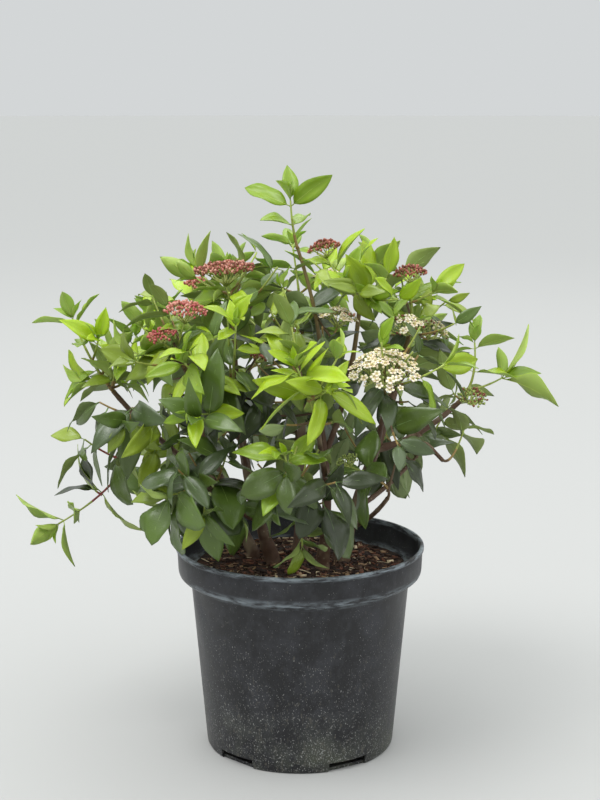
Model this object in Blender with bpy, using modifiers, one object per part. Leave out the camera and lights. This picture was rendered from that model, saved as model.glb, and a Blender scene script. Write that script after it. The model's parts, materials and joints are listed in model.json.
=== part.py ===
"""Potted laurustinus: a young evergreen shrub in bud and flower, in a round nursery pot.

Metres, +Z up. The origin is the middle of the pot's flat underside, the plant's
front faces -Y. Places in the tables are in millimetres and are turned to metres
by at().
"""
import math
import random
from collections import namedtuple

import bmesh
import bpy
from mathutils import Vector
from mathutils.bvhtree import BVHTree

MM = 0.001
UP = Vector((0.0, 0.0, 1.0))

# Clearances between neighbouring solids
GAP = 0.3 * MM
CLEAR = 0.6 * MM

# Pot: outer sizes, walls and drain slots
POT_HEIGHT = 158 * MM
RIM_RADIUS = 95 * MM
BASE_RADIUS = 72.5 * MM
SHOULDER_RADIUS = 83.5 * MM
BAND_HEIGHT = 23 * MM
LIP_HEIGHT = 3 * MM
LIP_PROUD = 0.9 * MM
SHOULDER_DROP = 7 * MM
WALL = 1.8 * MM
FLOOR_THICKNESS = 2.5 * MM
BASE_CHAMFER = 3.0 * MM
POT_STEPS = 36
DRAIN_SLOTS = 5
SLOT_TURN = math.radians(-60)
SLOT_WIDTH = 32 * MM
SLOT_HEIGHT = 5.5 * MM
SLOT_DEPTH = 9 * MM

# Compost
SOIL_BELOW_RIM = 16 * MM
SOIL_LEVEL = POT_HEIGHT - SOIL_BELOW_RIM

# Limbs
STEM_SIDES = 8
STEM_RINGS = 6
BOUGH_SIDES = 6
BOUGH_RINGS = 5
COLLAR_HEIGHT = 3 * MM
FLARE = 1.45
FLARE_REACH = 14 * MM
SHARP_ANGLE = math.radians(50)

# Twigs and leaves
TWIG_SIDES = 3
STEM_RADIUS = 1.7 * MM
TWIG_RADIUS = 1.2 * MM
TIP_RADIUS = 0.9 * MM
TWIG_SAG = 0.10
SHORT_TWIG = 34 * MM
LONG_TWIG = 62 * MM
LEAF_OPENING = (32, 58, 76, 88, 96)
LEAF_SCALE = (0.78, 1.0, 1.06, 1.1, 1.1)
LEAF_THICKNESS = 0.022
LEAF_BREADTH = 0.58
LEAF_NARROWING = 0.3
LEAF_BELLY = 0.9
LEAF_FREE_SHARE = 0.78
ROOT_DEPTH = 0.25 * MM
HEAD_STALK = 16 * MM
HEAD_DEPTH = 0.50
HEAD_CROWN = 0.42
HEAD_UPRIGHT = 0.6
HEAD_SHRINK = 0.9
CURVE_LEAD = 0.4

# How far the seeded rule strays: degrees, and shares of a length
LEAF_ATTEMPTS = 5
SWING_STEP = 0.25
LIFT_STEP = 0.3
SIZE_STEP = 0.07
SPIN_STRAY = 12
OPENING_STRAY = 9
SPACING_STRAY = 0.15
SIZE_STRAY = 0.11
BARE_FOOT = 0.85
FORK_PLACES = 15
FORK_REACH = 18
FORK_BEND = 1.9

# The crown that the seeded shoots fill: middle and half sizes
CROWN_MIDDLE = (2, 4, 268)
CROWN_HALF = (158, 150, 118)
LOWEST_TIP = 172 * MM
SKIRT_START = 30 * MM
SKIRT_RISE = 1.0
TIP_DEPTH = 7 * MM
TIP_TRIES = 24
SHOOT_TRIES = 3
SPACE_REACH = 65 * MM
OUTER_SHARE = 0.8
MIDDLE_SHARE = 0.62
YOUNG_LEAF = (33, 41)
GROWN_LEAF = (38, 46)
OLD_LEAF = (44, 54)

# How leaves of each age are shaped and held; node spacing in millimetres from the tip
Kind = namedtuple("Kind", "name width light droop arch fold spacing")
YOUNG = Kind("young", 0.46, 0.15, 0.00, 0.16, 0.20, (0, 5, 21, 38, 56))
FLUSH = Kind("flush", 0.38, 0.05, 0.00, 0.22, 0.16, (0, 4, 10, 17, 30))
GROWN = Kind("grown", 0.48, 0.35, 0.22, 0.26, 0.14, (0, 6, 23, 41, 60))
OLD = Kind("old", 0.48, 0.45, 0.55, 0.32, 0.10, (0, 8, 26, 46, 66))

Stem = namedtuple("Stem", "name foot tip bow foot_radius tip_radius")
Bough = namedtuple("Bough", "name parent share tip bow foot_radius tip_radius")
Shoot = namedtuple("Shoot", "tip leaf pairs turn age head")
Mass = namedtuple("Mass", "name limb centre seed fill colour shoots")

STEMS = (
    Stem("stem_left", (-22, 6), (-47, 0, 268), (-9, 0, 0), 4.4, 2.9),
    Stem("stem_left_back", (-37, 20), (-86, 48, 262), (-4, -4, 0), 3.8, 2.5),
    Stem("stem_middle", (17, -12), (14, -28, 262), (9, 0, 0), 4.0, 2.5),
    Stem("stem_right", (32, 10), (64, 4, 250), (-2, 0, 0), 5.0, 3.5),
    Stem("stem_back", (0, 32), (2, 62, 290), (0, 6, 0), 4.2, 2.7),
)

BOUGHS = (
    Bough("bough_top_left", "stem_left", 1.0, (-49, -13, 322), (-3, 2, 0), 2.6, 2.0),
    Bough("bough_left_inner", "stem_left", 0.80, (-84, -38, 300), (-5, -2, -8), 2.2, 1.7),
    Bough("bough_left", "stem_left", 0.48, (-140, -3, 276), (-8, 0, -14), 2.8, 1.8),
    Bough("bough_left_front", "bough_left", 0.55, (-112, -40, 262), (0, -4, -4), 1.9, 1.6),
    Bough("bough_left_low", "bough_left", 0.72, (-132, 12, 222), (-3, 3, 6), 1.8, 1.5),
    Bough("bough_front_left", "stem_left", 0.66, (-50, -48, 274), (2, -6, -6), 2.1, 1.6),
    Bough("bough_front_left_low", "stem_left", 0.36, (-62, -62, 214), (0, -4, -5), 2.1, 1.6),
    Bough("bough_leader", "stem_middle", 0.93, (-2, 2, 384), (14, 6, 0), 2.2, 1.5),
    Bough("bough_top_right", "stem_middle", 0.78, (44, -16, 344), (8, 0, -4), 2.2, 1.6),
    Bough("bough_front", "stem_middle", 0.62, (12, -108, 270), (2, -6, -12), 2.2, 1.7),
    Bough("bough_front_low", "stem_middle", 0.33, (0, -86, 208), (-2, -4, -6), 2.0, 1.6),
    Bough("bough_right_up", "stem_right", 1.0, (81, 2, 316), (2, 0, 0), 3.0, 2.0),
    Bough("bough_right", "stem_right", 0.84, (120, -2, 268), (3, 0, -10), 2.7, 1.8),
    Bough("bough_right_low", "bough_right", 0.45, (106, -22, 228), (3, -2, -3), 1.8, 1.5),
    Bough("bough_front_right", "stem_right", 0.70, (60, -58, 272), (2, -5, -8), 2.2, 1.7),
    Bough("bough_front_right_low", "stem_right", 0.34, (64, -46, 204), (2, -3, -5), 2.0, 1.6),
    Bough("bough_back_left_low", "stem_left_back", 0.42, (-92, 66, 206), (-2, 2, -5), 2.0, 1.6),
    Bough("bough_back_low", "stem_back", 0.45, (-2, 92, 214), (0, 3, -6), 2.1, 1.6),
    Bough("bough_back_right", "stem_right", 0.92, (82, 58, 286), (0, 6, -6), 2.4, 1.8),
    Bough("bough_back_right_low", "stem_right", 0.46, (88, 60, 206), (0, 4, -6), 2.0, 1.6),
)

MASSES = (
    Mass("foliage_leader", "bough_leader", (-8, 5, 420), 11, 0, YOUNG, (
        Shoot((-7, 0, 419), 36, 3, 75, YOUNG, 0),
    )),
    Mass("foliage_top_left", "bough_top_left", (-58, -10, 366), 412, 2, YOUNG, (
        Shoot((-55, -20, 370), 38, 3, 60, YOUNG, 22),
        Shoot((-76, -8, 362), 40, 3, 10, YOUNG, 0),
        Shoot((-42, 12, 368), 36, 3, 70, GROWN, 0),
    )),
    Mass("foliage_left_inner", "bough_left_inner", (-104, -36, 322), 13, 1, YOUNG, (
        Shoot((-82, -52, 343), 38, 3, 0, YOUNG, 17),
        Shoot((-98, -62, 327), 34, 2, 90, GROWN, 10),
        Shoot((-116, -14, 326), 34, 3, 30, YOUNG, 0),
        Shoot((-123, -34, 312), 33, 2, 75, YOUNG, 0),
    )),
    Mass("foliage_left", "bough_left", (-158, -6, 310), 14, 1, YOUNG, (
        Shoot((-170, 0, 331), 31, 4, 15, YOUNG, 0),
        Shoot((-149, -18, 318), 31, 3, 60, YOUNG, 0),
        Shoot((-160, -6, 284), 34, 2, 40, YOUNG, 0),
    )),
    Mass("foliage_left_front", "bough_left_front", (-128, -58, 258), 15, 2, GROWN, (
        Shoot((-120, -66, 276), 54, 3, 35, OLD, 0),
        Shoot((-146, -44, 276), 48, 2, 10, OLD, 0),
    )),
    Mass("foliage_left_low", "bough_left_low", (-168, 14, 205), 16, 0, GROWN, (
        Shoot((-186, 6, 171), 38, 3, 20, YOUNG, 0),
        Shoot((-164, 4, 238), 42, 2, 0, GROWN, 0),
        Shoot((-158, 12, 196), 46, 1, 90, OLD, 0),
    )),
    Mass("foliage_front_left", "bough_front_left", (-44, -80, 296), 17, 3, OLD, (
        Shoot((-30, -52, 309), 46, 3, 20, OLD, 9),
        Shoot((-58, -80, 300), 54, 3, 75, OLD, 0),
    )),
    Mass("foliage_front_left_low", "bough_front_left_low", (-72, -82, 214), 18, 3, OLD, (
        Shoot((-72, -80, 226), 46, 3, 30, OLD, 0),
        Shoot((-94, -80, 204), 42, 2, 5, GROWN, 0),
    )),
    Mass("foliage_centre", "stem_middle", (10, -34, 316), 19, 3, OLD, (
        Shoot((28, -32, 336), 46, 3, 45, OLD, 18),
        Shoot((-8, -20, 334), 44, 3, 15, OLD, 0),
    )),
    Mass("foliage_top_right", "bough_top_right", (44, -14, 368), 20, 0, YOUNG, (
        Shoot((48, -36, 352), 38, 3, 25, YOUNG, 0),
        Shoot((18, -12, 384), 34, 2, 70, YOUNG, 12),
        Shoot((54, 0, 370), 38, 3, 50, YOUNG, 0),
        Shoot((34, -40, 362), 34, 2, 0, YOUNG, 0),
    )),
    Mass("foliage_front", "bough_front", (12, -124, 306), 21, 1, YOUNG, (
        Shoot((-2, -130, 316), 42, 4, 8, FLUSH, 0),
        Shoot((20, -134, 303), 42, 4, 50, FLUSH, 0),
    )),
    Mass("foliage_front_low", "bough_front_low", (-4, -116, 228), 22, 2, OLD, (
        Shoot((-10, -132, 256), 38, 3, 80, YOUNG, 0),
        Shoot((-10, -108, 224), 46, 3, 20, OLD, 0),
        Shoot((16, -104, 216), 52, 2, 60, OLD, 0),
    )),
    Mass("foliage_right_up", "bough_right_up", (92, 2, 348), 23, 0, GROWN, (
        Shoot((82, 0, 364), 38, 3, 0, YOUNG, 12),
        Shoot((98, -6, 352), 38, 3, 35, YOUNG, 0),
        Shoot((100, 12, 320), 42, 2, 60, OLD, 12),
        Shoot((78, -22, 328), 42, 2, 15, OLD, 12),
    )),
    Mass("foliage_right", "bough_right", (142, 4, 290), 24, 1, GROWN, (
        Shoot((131, 0, 313), 32, 3, 60, YOUNG, 0),
        Shoot((152, 0, 286), 54, 1, 60, YOUNG, 0),
        Shoot((128, -18, 274), 42, 2, 70, GROWN, 11),
    )),
    Mass("foliage_right_low", "bough_right_low", (126, -26, 226), 25, 0, OLD, (
        Shoot((124, -8, 250), 38, 2, 10, GROWN, 0),
        Shoot((106, -52, 252), 50, 2, 45, OLD, 0),
    )),
    Mass("foliage_front_right", "bough_front_right", (68, -84, 292), 26, 1, OLD, (
        Shoot((59, -90, 306), 48, 2, 30, OLD, 24),
        Shoot((84, -66, 314), 54, 3, 80, OLD, 0),
        Shoot((76, -84, 284), 60, 2, 20, OLD, 0),
    )),
    Mass("foliage_front_right_low", "bough_front_right_low", (60, -66, 240), 127, 1, OLD, (
        Shoot((34, -80, 240), 36, 2, 10, GROWN, 8),
        Shoot((72, -58, 248), 42, 2, 55, OLD, 0),
    )),
    Mass("foliage_back_left", "stem_left_back", (-104, 72, 300), 28, 3, GROWN, (
        Shoot((-112, 74, 322), 38, 4, 20, YOUNG, 0),
        Shoot((-78, 58, 348), 36, 3, 60, YOUNG, 14),
    )),
    Mass("foliage_back_left_low", "bough_back_left_low", (-104, 82, 214), 29, 2, OLD, (
        Shoot((-128, 84, 222), 44, 3, 0, GROWN, 0),
    )),
    Mass("foliage_back", "stem_back", (-2, 92, 332), 30, 3, GROWN, (
        Shoot((-6, 72, 380), 36, 4, 10, YOUNG, 0),
        Shoot((24, 108, 346), 36, 3, 50, YOUNG, 16),
    )),
    Mass("foliage_back_low", "bough_back_low", (-4, 118, 226), 31, 2, OLD, (
        Shoot((-10, 130, 246), 44, 3, 45, GROWN, 0),
    )),
    Mass("foliage_back_right", "bough_back_right", (92, 80, 306), 32, 3, GROWN, (
        Shoot((98, 78, 334), 38, 4, 30, YOUNG, 0),
        Shoot((70, 62, 350), 36, 3, 0, YOUNG, 0),
    )),
    Mass("foliage_back_right_low", "bough_back_right_low", (102, 80, 218), 33, 2, OLD, (
        Shoot((120, 84, 248), 42, 3, 75, GROWN, 0),
    )),
)


def at(place):
    """A place given in millimetres, as a vector in metres."""
    return Vector(place) * MM


def clear_scene():
    """Take away whatever the file opened with."""
    for item in list(bpy.data.objects):
        bpy.data.objects.remove(item, do_unlink=True)


def make_collection(name):
    """A new collection in the scene."""
    collection = bpy.data.collections.new(name)
    bpy.context.scene.collection.children.link(collection)
    return collection


def make_material(name, colour, roughness, metallic=0.0):
    """A Principled material of one colour."""
    material = bpy.data.materials.new(name)
    material.use_nodes = True
    shader = material.node_tree.nodes["Principled BSDF"]
    shader.inputs["Base Color"].default_value = (*colour, 1.0)
    shader.inputs["Roughness"].default_value = roughness
    shader.inputs["Metallic"].default_value = metallic
    return material


def mesh_from(name, shape):
    """A mesh made of a bmesh, which is freed."""
    mesh = bpy.data.meshes.new(name)
    shape.to_mesh(mesh)
    shape.free()
    return mesh


def add_object(name, mesh, material, collection):
    """An object in a collection, with its material."""
    item = bpy.data.objects.new(name, mesh)
    mesh.materials.clear()
    mesh.materials.append(material)
    collection.objects.link(item)
    return item


def turned_object(name, profile, steps, material, collection):
    """A solid turned round Z from a profile that ends on the axis at both ends."""
    shape = bmesh.new()
    corners = [shape.verts.new((radius, 0.0, height)) for radius, height in profile]
    for first, second in zip(corners, corners[1:]):
        shape.edges.new((first, second))
    item = add_object(name, mesh_from(name, shape), material, collection)
    screw = item.modifiers.new("Turn", "SCREW")
    screw.axis = "Z"
    screw.steps = steps
    screw.render_steps = steps
    screw.use_merge_vertices = True
    screw.merge_threshold = 0.00001
    return item


def pot_inner_radius(height):
    """Radius of the pot's inner wall, which follows the outer one a wall inside."""
    shoulder_foot = POT_HEIGHT - BAND_HEIGHT - SHOULDER_DROP
    share = min(1.0, (height - FLOOR_THICKNESS) / (shoulder_foot - FLOOR_THICKNESS))
    return BASE_RADIUS + share * (SHOULDER_RADIUS - BASE_RADIUS) - WALL


def make_pot(material, collection, cutters):
    """The nursery pot: lip, band, shoulder, tapering wall, floor and drain slots."""
    band_foot = POT_HEIGHT - BAND_HEIGHT
    shoulder_foot = band_foot - SHOULDER_DROP
    lip_foot = POT_HEIGHT - LIP_HEIGHT
    band_radius = RIM_RADIUS - LIP_PROUD
    profile = (
        (0.0, FLOOR_THICKNESS),
        (pot_inner_radius(FLOOR_THICKNESS), FLOOR_THICKNESS),
        (pot_inner_radius(shoulder_foot), shoulder_foot + WALL),
        (band_radius - 2.5 * WALL, band_foot + WALL),
        (RIM_RADIUS - LIP_PROUD - WALL, POT_HEIGHT - WALL),
        (RIM_RADIUS - 1.6 * WALL, POT_HEIGHT),
        (RIM_RADIUS - 0.4 * WALL, POT_HEIGHT),
        (RIM_RADIUS, POT_HEIGHT - 0.4 * WALL),
        (RIM_RADIUS, lip_foot),
        (band_radius - LIP_PROUD, lip_foot - LIP_PROUD),
        (band_radius - 1.5 * WALL, band_foot),
        (band_radius - 2.5 * WALL, band_foot - 0.5 * WALL),
        (SHOULDER_RADIUS, shoulder_foot),
        (BASE_RADIUS, BASE_CHAMFER),
        (BASE_RADIUS - 0.6 * BASE_CHAMFER, 0.0),
        (0.0, 0.0),
    )
    pot = turned_object("pot", profile, POT_STEPS, material, collection)
    for number in range(DRAIN_SLOTS):
        angle = SLOT_TURN + math.tau * number / DRAIN_SLOTS
        shape = bmesh.new()
        bmesh.ops.create_cube(shape, size=1.0)
        slot = add_object(f"slot_{number}", mesh_from("slot", shape), material, cutters)
        slot.scale = (SLOT_DEPTH, SLOT_WIDTH, SLOT_HEIGHT)
        slot.location = (BASE_RADIUS * math.cos(angle), BASE_RADIUS * math.sin(angle), 0.0)
        slot.location.z = 0.5 * SLOT_HEIGHT - GAP
        slot.rotation_euler.z = angle
        slot.hide_render = True
        slot.display_type = "WIRE"
        cut = pot.modifiers.new(slot.name, "BOOLEAN")
        cut.operation = "DIFFERENCE"
        cut.object = slot
        cut.solver = "EXACT"
    return pot


def make_soil(material, collection):
    """The compost that fills the pot, with a level top."""
    floor = FLOOR_THICKNESS + GAP
    profile = (
        (0.0, SOIL_LEVEL),
        (pot_inner_radius(SOIL_LEVEL) - CLEAR, SOIL_LEVEL),
        (pot_inner_radius(POT_HEIGHT) - CLEAR, POT_HEIGHT - BAND_HEIGHT - SHOULDER_DROP),
        (pot_inner_radius(SLOT_HEIGHT) - CLEAR, SLOT_HEIGHT),
        (pot_inner_radius(floor) - SLOT_DEPTH, floor),
        (0.0, floor),
    )
    return turned_object("soil", profile, POT_STEPS, material, collection)


def curve_points(start, control, end, count):
    """Points along a quadratic curve, evenly spaced in its parameter."""
    points = []
    for index in range(count):
        share = index / (count - 1)
        rest = 1.0 - share
        points.append(rest * rest * start + 2 * rest * share * control + share * share * end)
    return points


def tangents(points):
    """The direction of a line of points at each of them."""
    last = len(points) - 1
    return [
        (points[min(index + 1, last)] - points[max(index - 1, 0)]).normalized()
        for index in range(len(points))
    ]


def swept_shape(points, radii, sides, directions=None):
    """A closed tapering tube: a ring carried along a line of points."""
    directions = directions or tangents(points)
    shape = bmesh.new()
    bmesh.ops.create_circle(shape, cap_ends=True, segments=sides, radius=1.0)
    shape.faces.ensure_lookup_table()
    cap = shape.faces[0]
    turn = UP.rotation_difference(directions[0])
    for corner in cap.verts:
        corner.co = points[0] + turn @ (corner.co * radii[0])
    for index in range(1, len(points)):
        grown = bmesh.ops.extrude_face_region(shape, geom=[cap])["geom"]
        if index > 1:
            bmesh.ops.delete(shape, geom=[cap], context="FACES_ONLY")
        cap = next(part for part in grown if isinstance(part, bmesh.types.BMFace))
        swing = directions[index - 1].rotation_difference(directions[index])
        growth = radii[index] / radii[index - 1]
        for corner in cap.verts:
            offset = (corner.co - points[index - 1]) * growth
            corner.co = points[index] + swing @ offset
    bmesh.ops.recalc_face_normals(shape, faces=shape.faces)
    if shape.calc_volume(signed=True) < 0.0:
        bmesh.ops.reverse_faces(shape, faces=shape.faces)
    return shape


def tapered(first, last, count):
    """Radii that run evenly from the first to the last."""
    return [first + (last - first) * index / (count - 1) for index in range(count)]


class Limb:
    """A stem or bough: the line of its middle, its radii and its directions."""

    def __init__(self, name, points, radii, sides):
        self.name = name
        self.sides = sides
        self.points = points
        self.radii = radii
        self.directions = tangents(points)

    def at_share(self, share):
        """Middle, direction and radius at a share of the way along."""
        along = share * (len(self.points) - 1)
        index = min(int(along), len(self.points) - 2)
        part = along - index
        middle = self.points[index].lerp(self.points[index + 1], part)
        direction = self.directions[index].lerp(self.directions[index + 1], part).normalized()
        radius = self.radii[index] + part * (self.radii[index + 1] - self.radii[index])
        return middle, direction, radius

    def shape(self, spare=0.0):
        """The limb's solid, a spare thicker all round."""
        return swept_shape(
            self.points, [radius + spare for radius in self.radii], self.sides, self.directions
        )


def grow_stem(row):
    """A stem from its flat cut at the soil: a level collar, a flare and a lean."""
    foot = Vector((row.foot[0] * MM, row.foot[1] * MM, SOIL_LEVEL + GAP))
    collar = foot + COLLAR_HEIGHT * UP
    tip = at(row.tip)
    control = collar.lerp(tip, 0.5) + at(row.bow)
    points = [foot] + curve_points(collar, control, tip, STEM_RINGS)
    radii = [row.foot_radius * MM] + [
        radius * MM for radius in tapered(row.foot_radius, row.tip_radius, STEM_RINGS)
    ]
    for index, point in enumerate(points):
        nearness = max(0.0, 1.0 - (point.z - foot.z) / FLARE_REACH)
        radii[index] *= 1.0 + (FLARE - 1.0) * nearness
    limb = Limb(row.name, points, radii, STEM_SIDES)
    limb.directions[0] = UP.copy()
    return limb


def grow_bough(row, limbs):
    """A bough that starts a gap clear of its parent limb and tapers to its tip."""
    middle, direction, radius = limbs[row.parent].at_share(row.share)
    tip = at(row.tip)
    control = middle.lerp(tip, 0.5) + at(row.bow)
    foot_radius = row.foot_radius * MM
    heading = (control - middle).normalized()
    if row.share == 1.0:
        foot_radius = min(foot_radius, radius)
        heading = direction
        away = GAP
        control = middle + direction * (tip - middle).length * CURVE_LEAD
    else:
        slant = math.sqrt(1.0 - heading.dot(direction) ** 2)
        away = (radius + GAP + foot_radius * abs(heading.dot(direction))) / slant
    start = middle + heading * away
    points = curve_points(start, control, tip, BOUGH_RINGS)
    radii = tapered(foot_radius, row.tip_radius * MM, BOUGH_RINGS)
    limb = Limb(row.name, points, radii, BOUGH_SIDES)
    limb.directions[0] = heading
    return limb


def grow_limbs():
    """Every stem and bough, by name."""
    limbs = {}
    for row in STEMS:
        limbs[row.name] = grow_stem(row)
    for row in BOUGHS:
        limbs[row.name] = grow_bough(row, limbs)
    return limbs


def keep_out_shapes(limbs):
    """Search trees of what no twig or leaf may touch: limbs, pot wall and compost."""
    trees = {}
    for limb in limbs.values():
        shape = limb.shape(CLEAR)
        trees[limb.name] = BVHTree.FromBMesh(shape)
        shape.free()
    pot = bmesh.new()
    bmesh.ops.create_cone(
        pot, cap_ends=True, segments=POT_STEPS, depth=POT_HEIGHT + 2 * CLEAR,
        radius1=BASE_RADIUS + CLEAR, radius2=RIM_RADIUS + 2 * CLEAR,
    )
    bmesh.ops.translate(pot, verts=pot.verts, vec=(0.0, 0.0, 0.5 * POT_HEIGHT))
    trees["pot"] = BVHTree.FromBMesh(pot)
    pot.free()
    return trees


class Space:
    """The room of one foliage mass: all that lies nearer its centre than any other's."""

    def __init__(self, row):
        self.centre = at(row.centre)
        self.walls = []
        for other in MASSES:
            if other.name != row.name:
                away = at(other.centre) - self.centre
                self.walls.append((away.normalized(), 0.5 * away.length))

    def depth(self, point):
        """How far a point lies inside the nearest wall."""
        offset = point - self.centre
        return min(reach - offset.dot(normal) for normal, reach in self.walls)

    def holds(self, points, spare=0.5 * CLEAR):
        """Whether every point lies inside, a spare from the walls."""
        return all(self.depth(point) > spare for point in points)


def leaf_shape(base, heading, face, length, kind):
    """A thin arched leaf of six edge points and a thicker middle."""
    side = heading.cross(face).normalized()
    shape = bmesh.new()
    bmesh.ops.create_uvsphere(shape, u_segments=6, v_segments=2, radius=1.0)
    for corner in shape.verts:
        across, along, rise = corner.co
        along = 0.5 * (along + 1.0)
        across *= LEAF_BREADTH * kind.width * (1.0 - LEAF_NARROWING * (along - 0.4))
        along = along ** LEAF_BELLY
        height = rise * 0.5 * LEAF_THICKNESS - kind.arch * along * along + kind.fold * abs(across)
        corner.co = base + length * (along * heading + across * side + height * face)
    return shape


def head_shape(top, direction, radius):
    """A flower head: a low dome on the cone of its rays, closed at the stalk."""
    side = direction.orthogonal().normalized()
    other = direction.cross(side)
    shape = bmesh.new()
    bmesh.ops.create_uvsphere(shape, u_segments=8, v_segments=4, radius=1.0)
    for corner in shape.verts:
        flat_x, flat_y, rise = corner.co
        rise *= HEAD_CROWN if rise > 0.0 else HEAD_DEPTH
        corner.co = top + radius * (flat_x * side + flat_y * other + rise * direction)
    return shape


class Foliage:
    """One foliage mass: a stem, its twigs, their leaves and flower heads."""

    def __init__(self, row, limb, keep_out):
        self.row = row
        self.space = Space(row)
        self.limb = limb
        self.keep_out = keep_out
        self.draw = random.Random(row.seed)
        self.solids = []
        self.twig_trees = []
        self.leaf_trees = []

    def touches_limbs(self, tree):
        """Whether a shape's tree meets a limb or the pot."""
        return any(tree.overlap(other) for other in self.keep_out.values())

    def add_twig(self, start, tip, foot_radius, direction=None):
        """A twig that leaves its start and turns up to its tip, or nothing."""
        span = tip - start
        if direction is None:
            control = start.lerp(tip, 0.5) - UP * TWIG_SAG * span.length
            if not self.space.holds([control]):
                control = start.lerp(tip, 0.5)
        else:
            control = start + direction * CURVE_LEAD * span.length
        rings = 3 + int(span.length > SHORT_TWIG) + int(span.length > LONG_TWIG)
        points = curve_points(start, control, tip, rings)
        directions = tangents(points)
        directions[0] = direction or directions[0]
        radii = tapered(foot_radius, TIP_RADIUS, len(points))
        shape = swept_shape(points, radii, TWIG_SIDES, directions)
        tree = BVHTree.FromBMesh(shape)
        fits = self.space.holds([corner.co for corner in shape.verts[TWIG_SIDES:]])
        if direction is None and (self.touches_limbs(tree) or not fits):
            shape.free()
            return None
        self.solids.append(shape)
        self.twig_trees.append(tree)
        return points

    def add_leaf(self, base, heading, face, length, kind):
        """A leaf in the first of a few attitudes that keeps clear, or nothing."""
        root_share = 1.0 - LEAF_FREE_SHARE
        for attempt in range(LEAF_ATTEMPTS):
            swing = self.draw.uniform(-SWING_STEP, SWING_STEP) * attempt
            lift = self.draw.uniform(-LIFT_STEP, LIFT_STEP) * attempt
            size = length * (1.0 - SIZE_STEP * attempt)
            side = heading.cross(face).normalized()
            aim = (heading + swing * side + lift * face).normalized()
            flat = (face - face.dot(aim) * aim).normalized()
            shape = leaf_shape(base, aim, flat, size, kind)
            corners = [corner.co.copy() for corner in shape.verts]
            free = LEAF_FREE_SHARE * size
            outer = leaf_shape(base + root_share * size * aim, aim, flat, free, kind)
            outer_tree = BVHTree.FromBMesh(outer)
            outer.free()
            tree = BVHTree.FromBMesh(shape)
            if (
                self.space.holds(corners)
                and not self.touches_limbs(tree)
                and not any(outer_tree.overlap(other) for other in self.twig_trees)
                and not any(outer_tree.overlap(other) for other in self.leaf_trees)
            ):
                self.solids.append(shape)
                self.leaf_trees.append(outer_tree)
                return
            shape.free()

    def add_head(self, twig, radius):
        """A flower head on a twig's tip, as broad as its space allows."""
        direction = (twig[-1] - twig[-2]).normalized().lerp(UP, HEAD_UPRIGHT).normalized()
        shape = head_shape(twig[-1], direction, radius)
        while not self.space.holds([corner.co for corner in shape.verts]):
            shape.free()
            radius *= HEAD_SHRINK
            shape = head_shape(twig[-1], direction, radius)
        self.solids.append(shape)
        self.leaf_trees.append(BVHTree.FromBMesh(shape))

    def dress(self, points, shoot):
        """Opposite pairs of leaves down a shoot, each pair turned across the last."""
        lengths = [(second - first).length for first, second in zip(points, points[1:])]
        total = sum(lengths)
        first_node = HEAD_STALK if shoot.head else 0.0
        for pair in range(shoot.pairs):
            stray = self.draw.uniform(1.0 - SPACING_STRAY, 1.0 + SPACING_STRAY)
            back = first_node + shoot.age.spacing[pair] * MM * stray
            if back > BARE_FOOT * total:
                break
            along = total - back
            index = 0
            while index < len(lengths) - 1 and along > lengths[index]:
                along -= lengths[index]
                index += 1
            node = points[index].lerp(points[index + 1], min(1.0, along / lengths[index]))
            axis = (points[index + 1] - points[index]).normalized()
            across = axis.cross(UP)
            if across.length < 0.2:
                across = axis.cross(Vector((0.0, 1.0, 0.0)))
            across.normalize()
            other = axis.cross(across)
            order = min(pair + (1 if shoot.head else 0), len(LEAF_OPENING) - 1)
            spin = math.radians(shoot.turn + 90 * pair + self.draw.uniform(-SPIN_STRAY, SPIN_STRAY))
            for half in range(2):
                angle = spin + math.pi * half
                stray = self.draw.uniform(-OPENING_STRAY, OPENING_STRAY)
                opening = math.radians(LEAF_OPENING[order] + stray)
                outward = math.cos(angle) * across + math.sin(angle) * other
                heading = math.cos(opening) * axis + math.sin(opening) * outward
                face = math.sin(opening) * axis - math.cos(opening) * outward
                heading = (heading - shoot.age.droop * UP).normalized()
                face = face.lerp(UP, shoot.age.light)
                face = (face - face.dot(heading) * heading).normalized()
                stray = self.draw.uniform(1.0 - SIZE_STRAY, 1.0 + SIZE_STRAY)
                size = shoot.leaf * MM * LEAF_SCALE[order] * stray
                self.add_leaf(node - ROOT_DEPTH * heading, heading, face, size, shoot.age)

    def seeded_shoot(self, tips):
        """A shoot into the emptiest part of the space, or nothing where it is full."""
        middle = at(CROWN_MIDDLE)
        half = at(CROWN_HALF)
        best = None
        best_room = 0.0
        for _ in range(TIP_TRIES):
            spread = Vector(self.draw.uniform(-SPACE_REACH, SPACE_REACH) for _ in range(3))
            tip = self.space.centre + spread
            offset = Vector((tip[axis] - middle[axis]) / half[axis] for axis in range(3))
            reach = offset.length
            lowest = LOWEST_TIP + SKIRT_RISE * max(0.0, tip.x - SKIRT_START)
            if reach > 1.0 or tip.z < lowest or self.space.depth(tip) < TIP_DEPTH:
                continue
            room = min((tip - other).length for other in tips) * (0.5 + reach)
            if room > best_room:
                best, best_room, best_reach, best_height = tip, room, reach, offset.z
        if best is None:
            return None
        if best_reach > OUTER_SHARE and best_height > 0.1:
            kind, leaf = YOUNG, self.draw.uniform(*YOUNG_LEAF)
        elif best_reach > MIDDLE_SHARE:
            kind, leaf = GROWN, self.draw.uniform(*GROWN_LEAF)
        else:
            kind, leaf = OLD, self.draw.uniform(*OLD_LEAF)
        pairs = self.draw.choice((2, 3, 3))
        return Shoot(best / MM, leaf, pairs, self.draw.uniform(0, 90), kind, 0)

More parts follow.
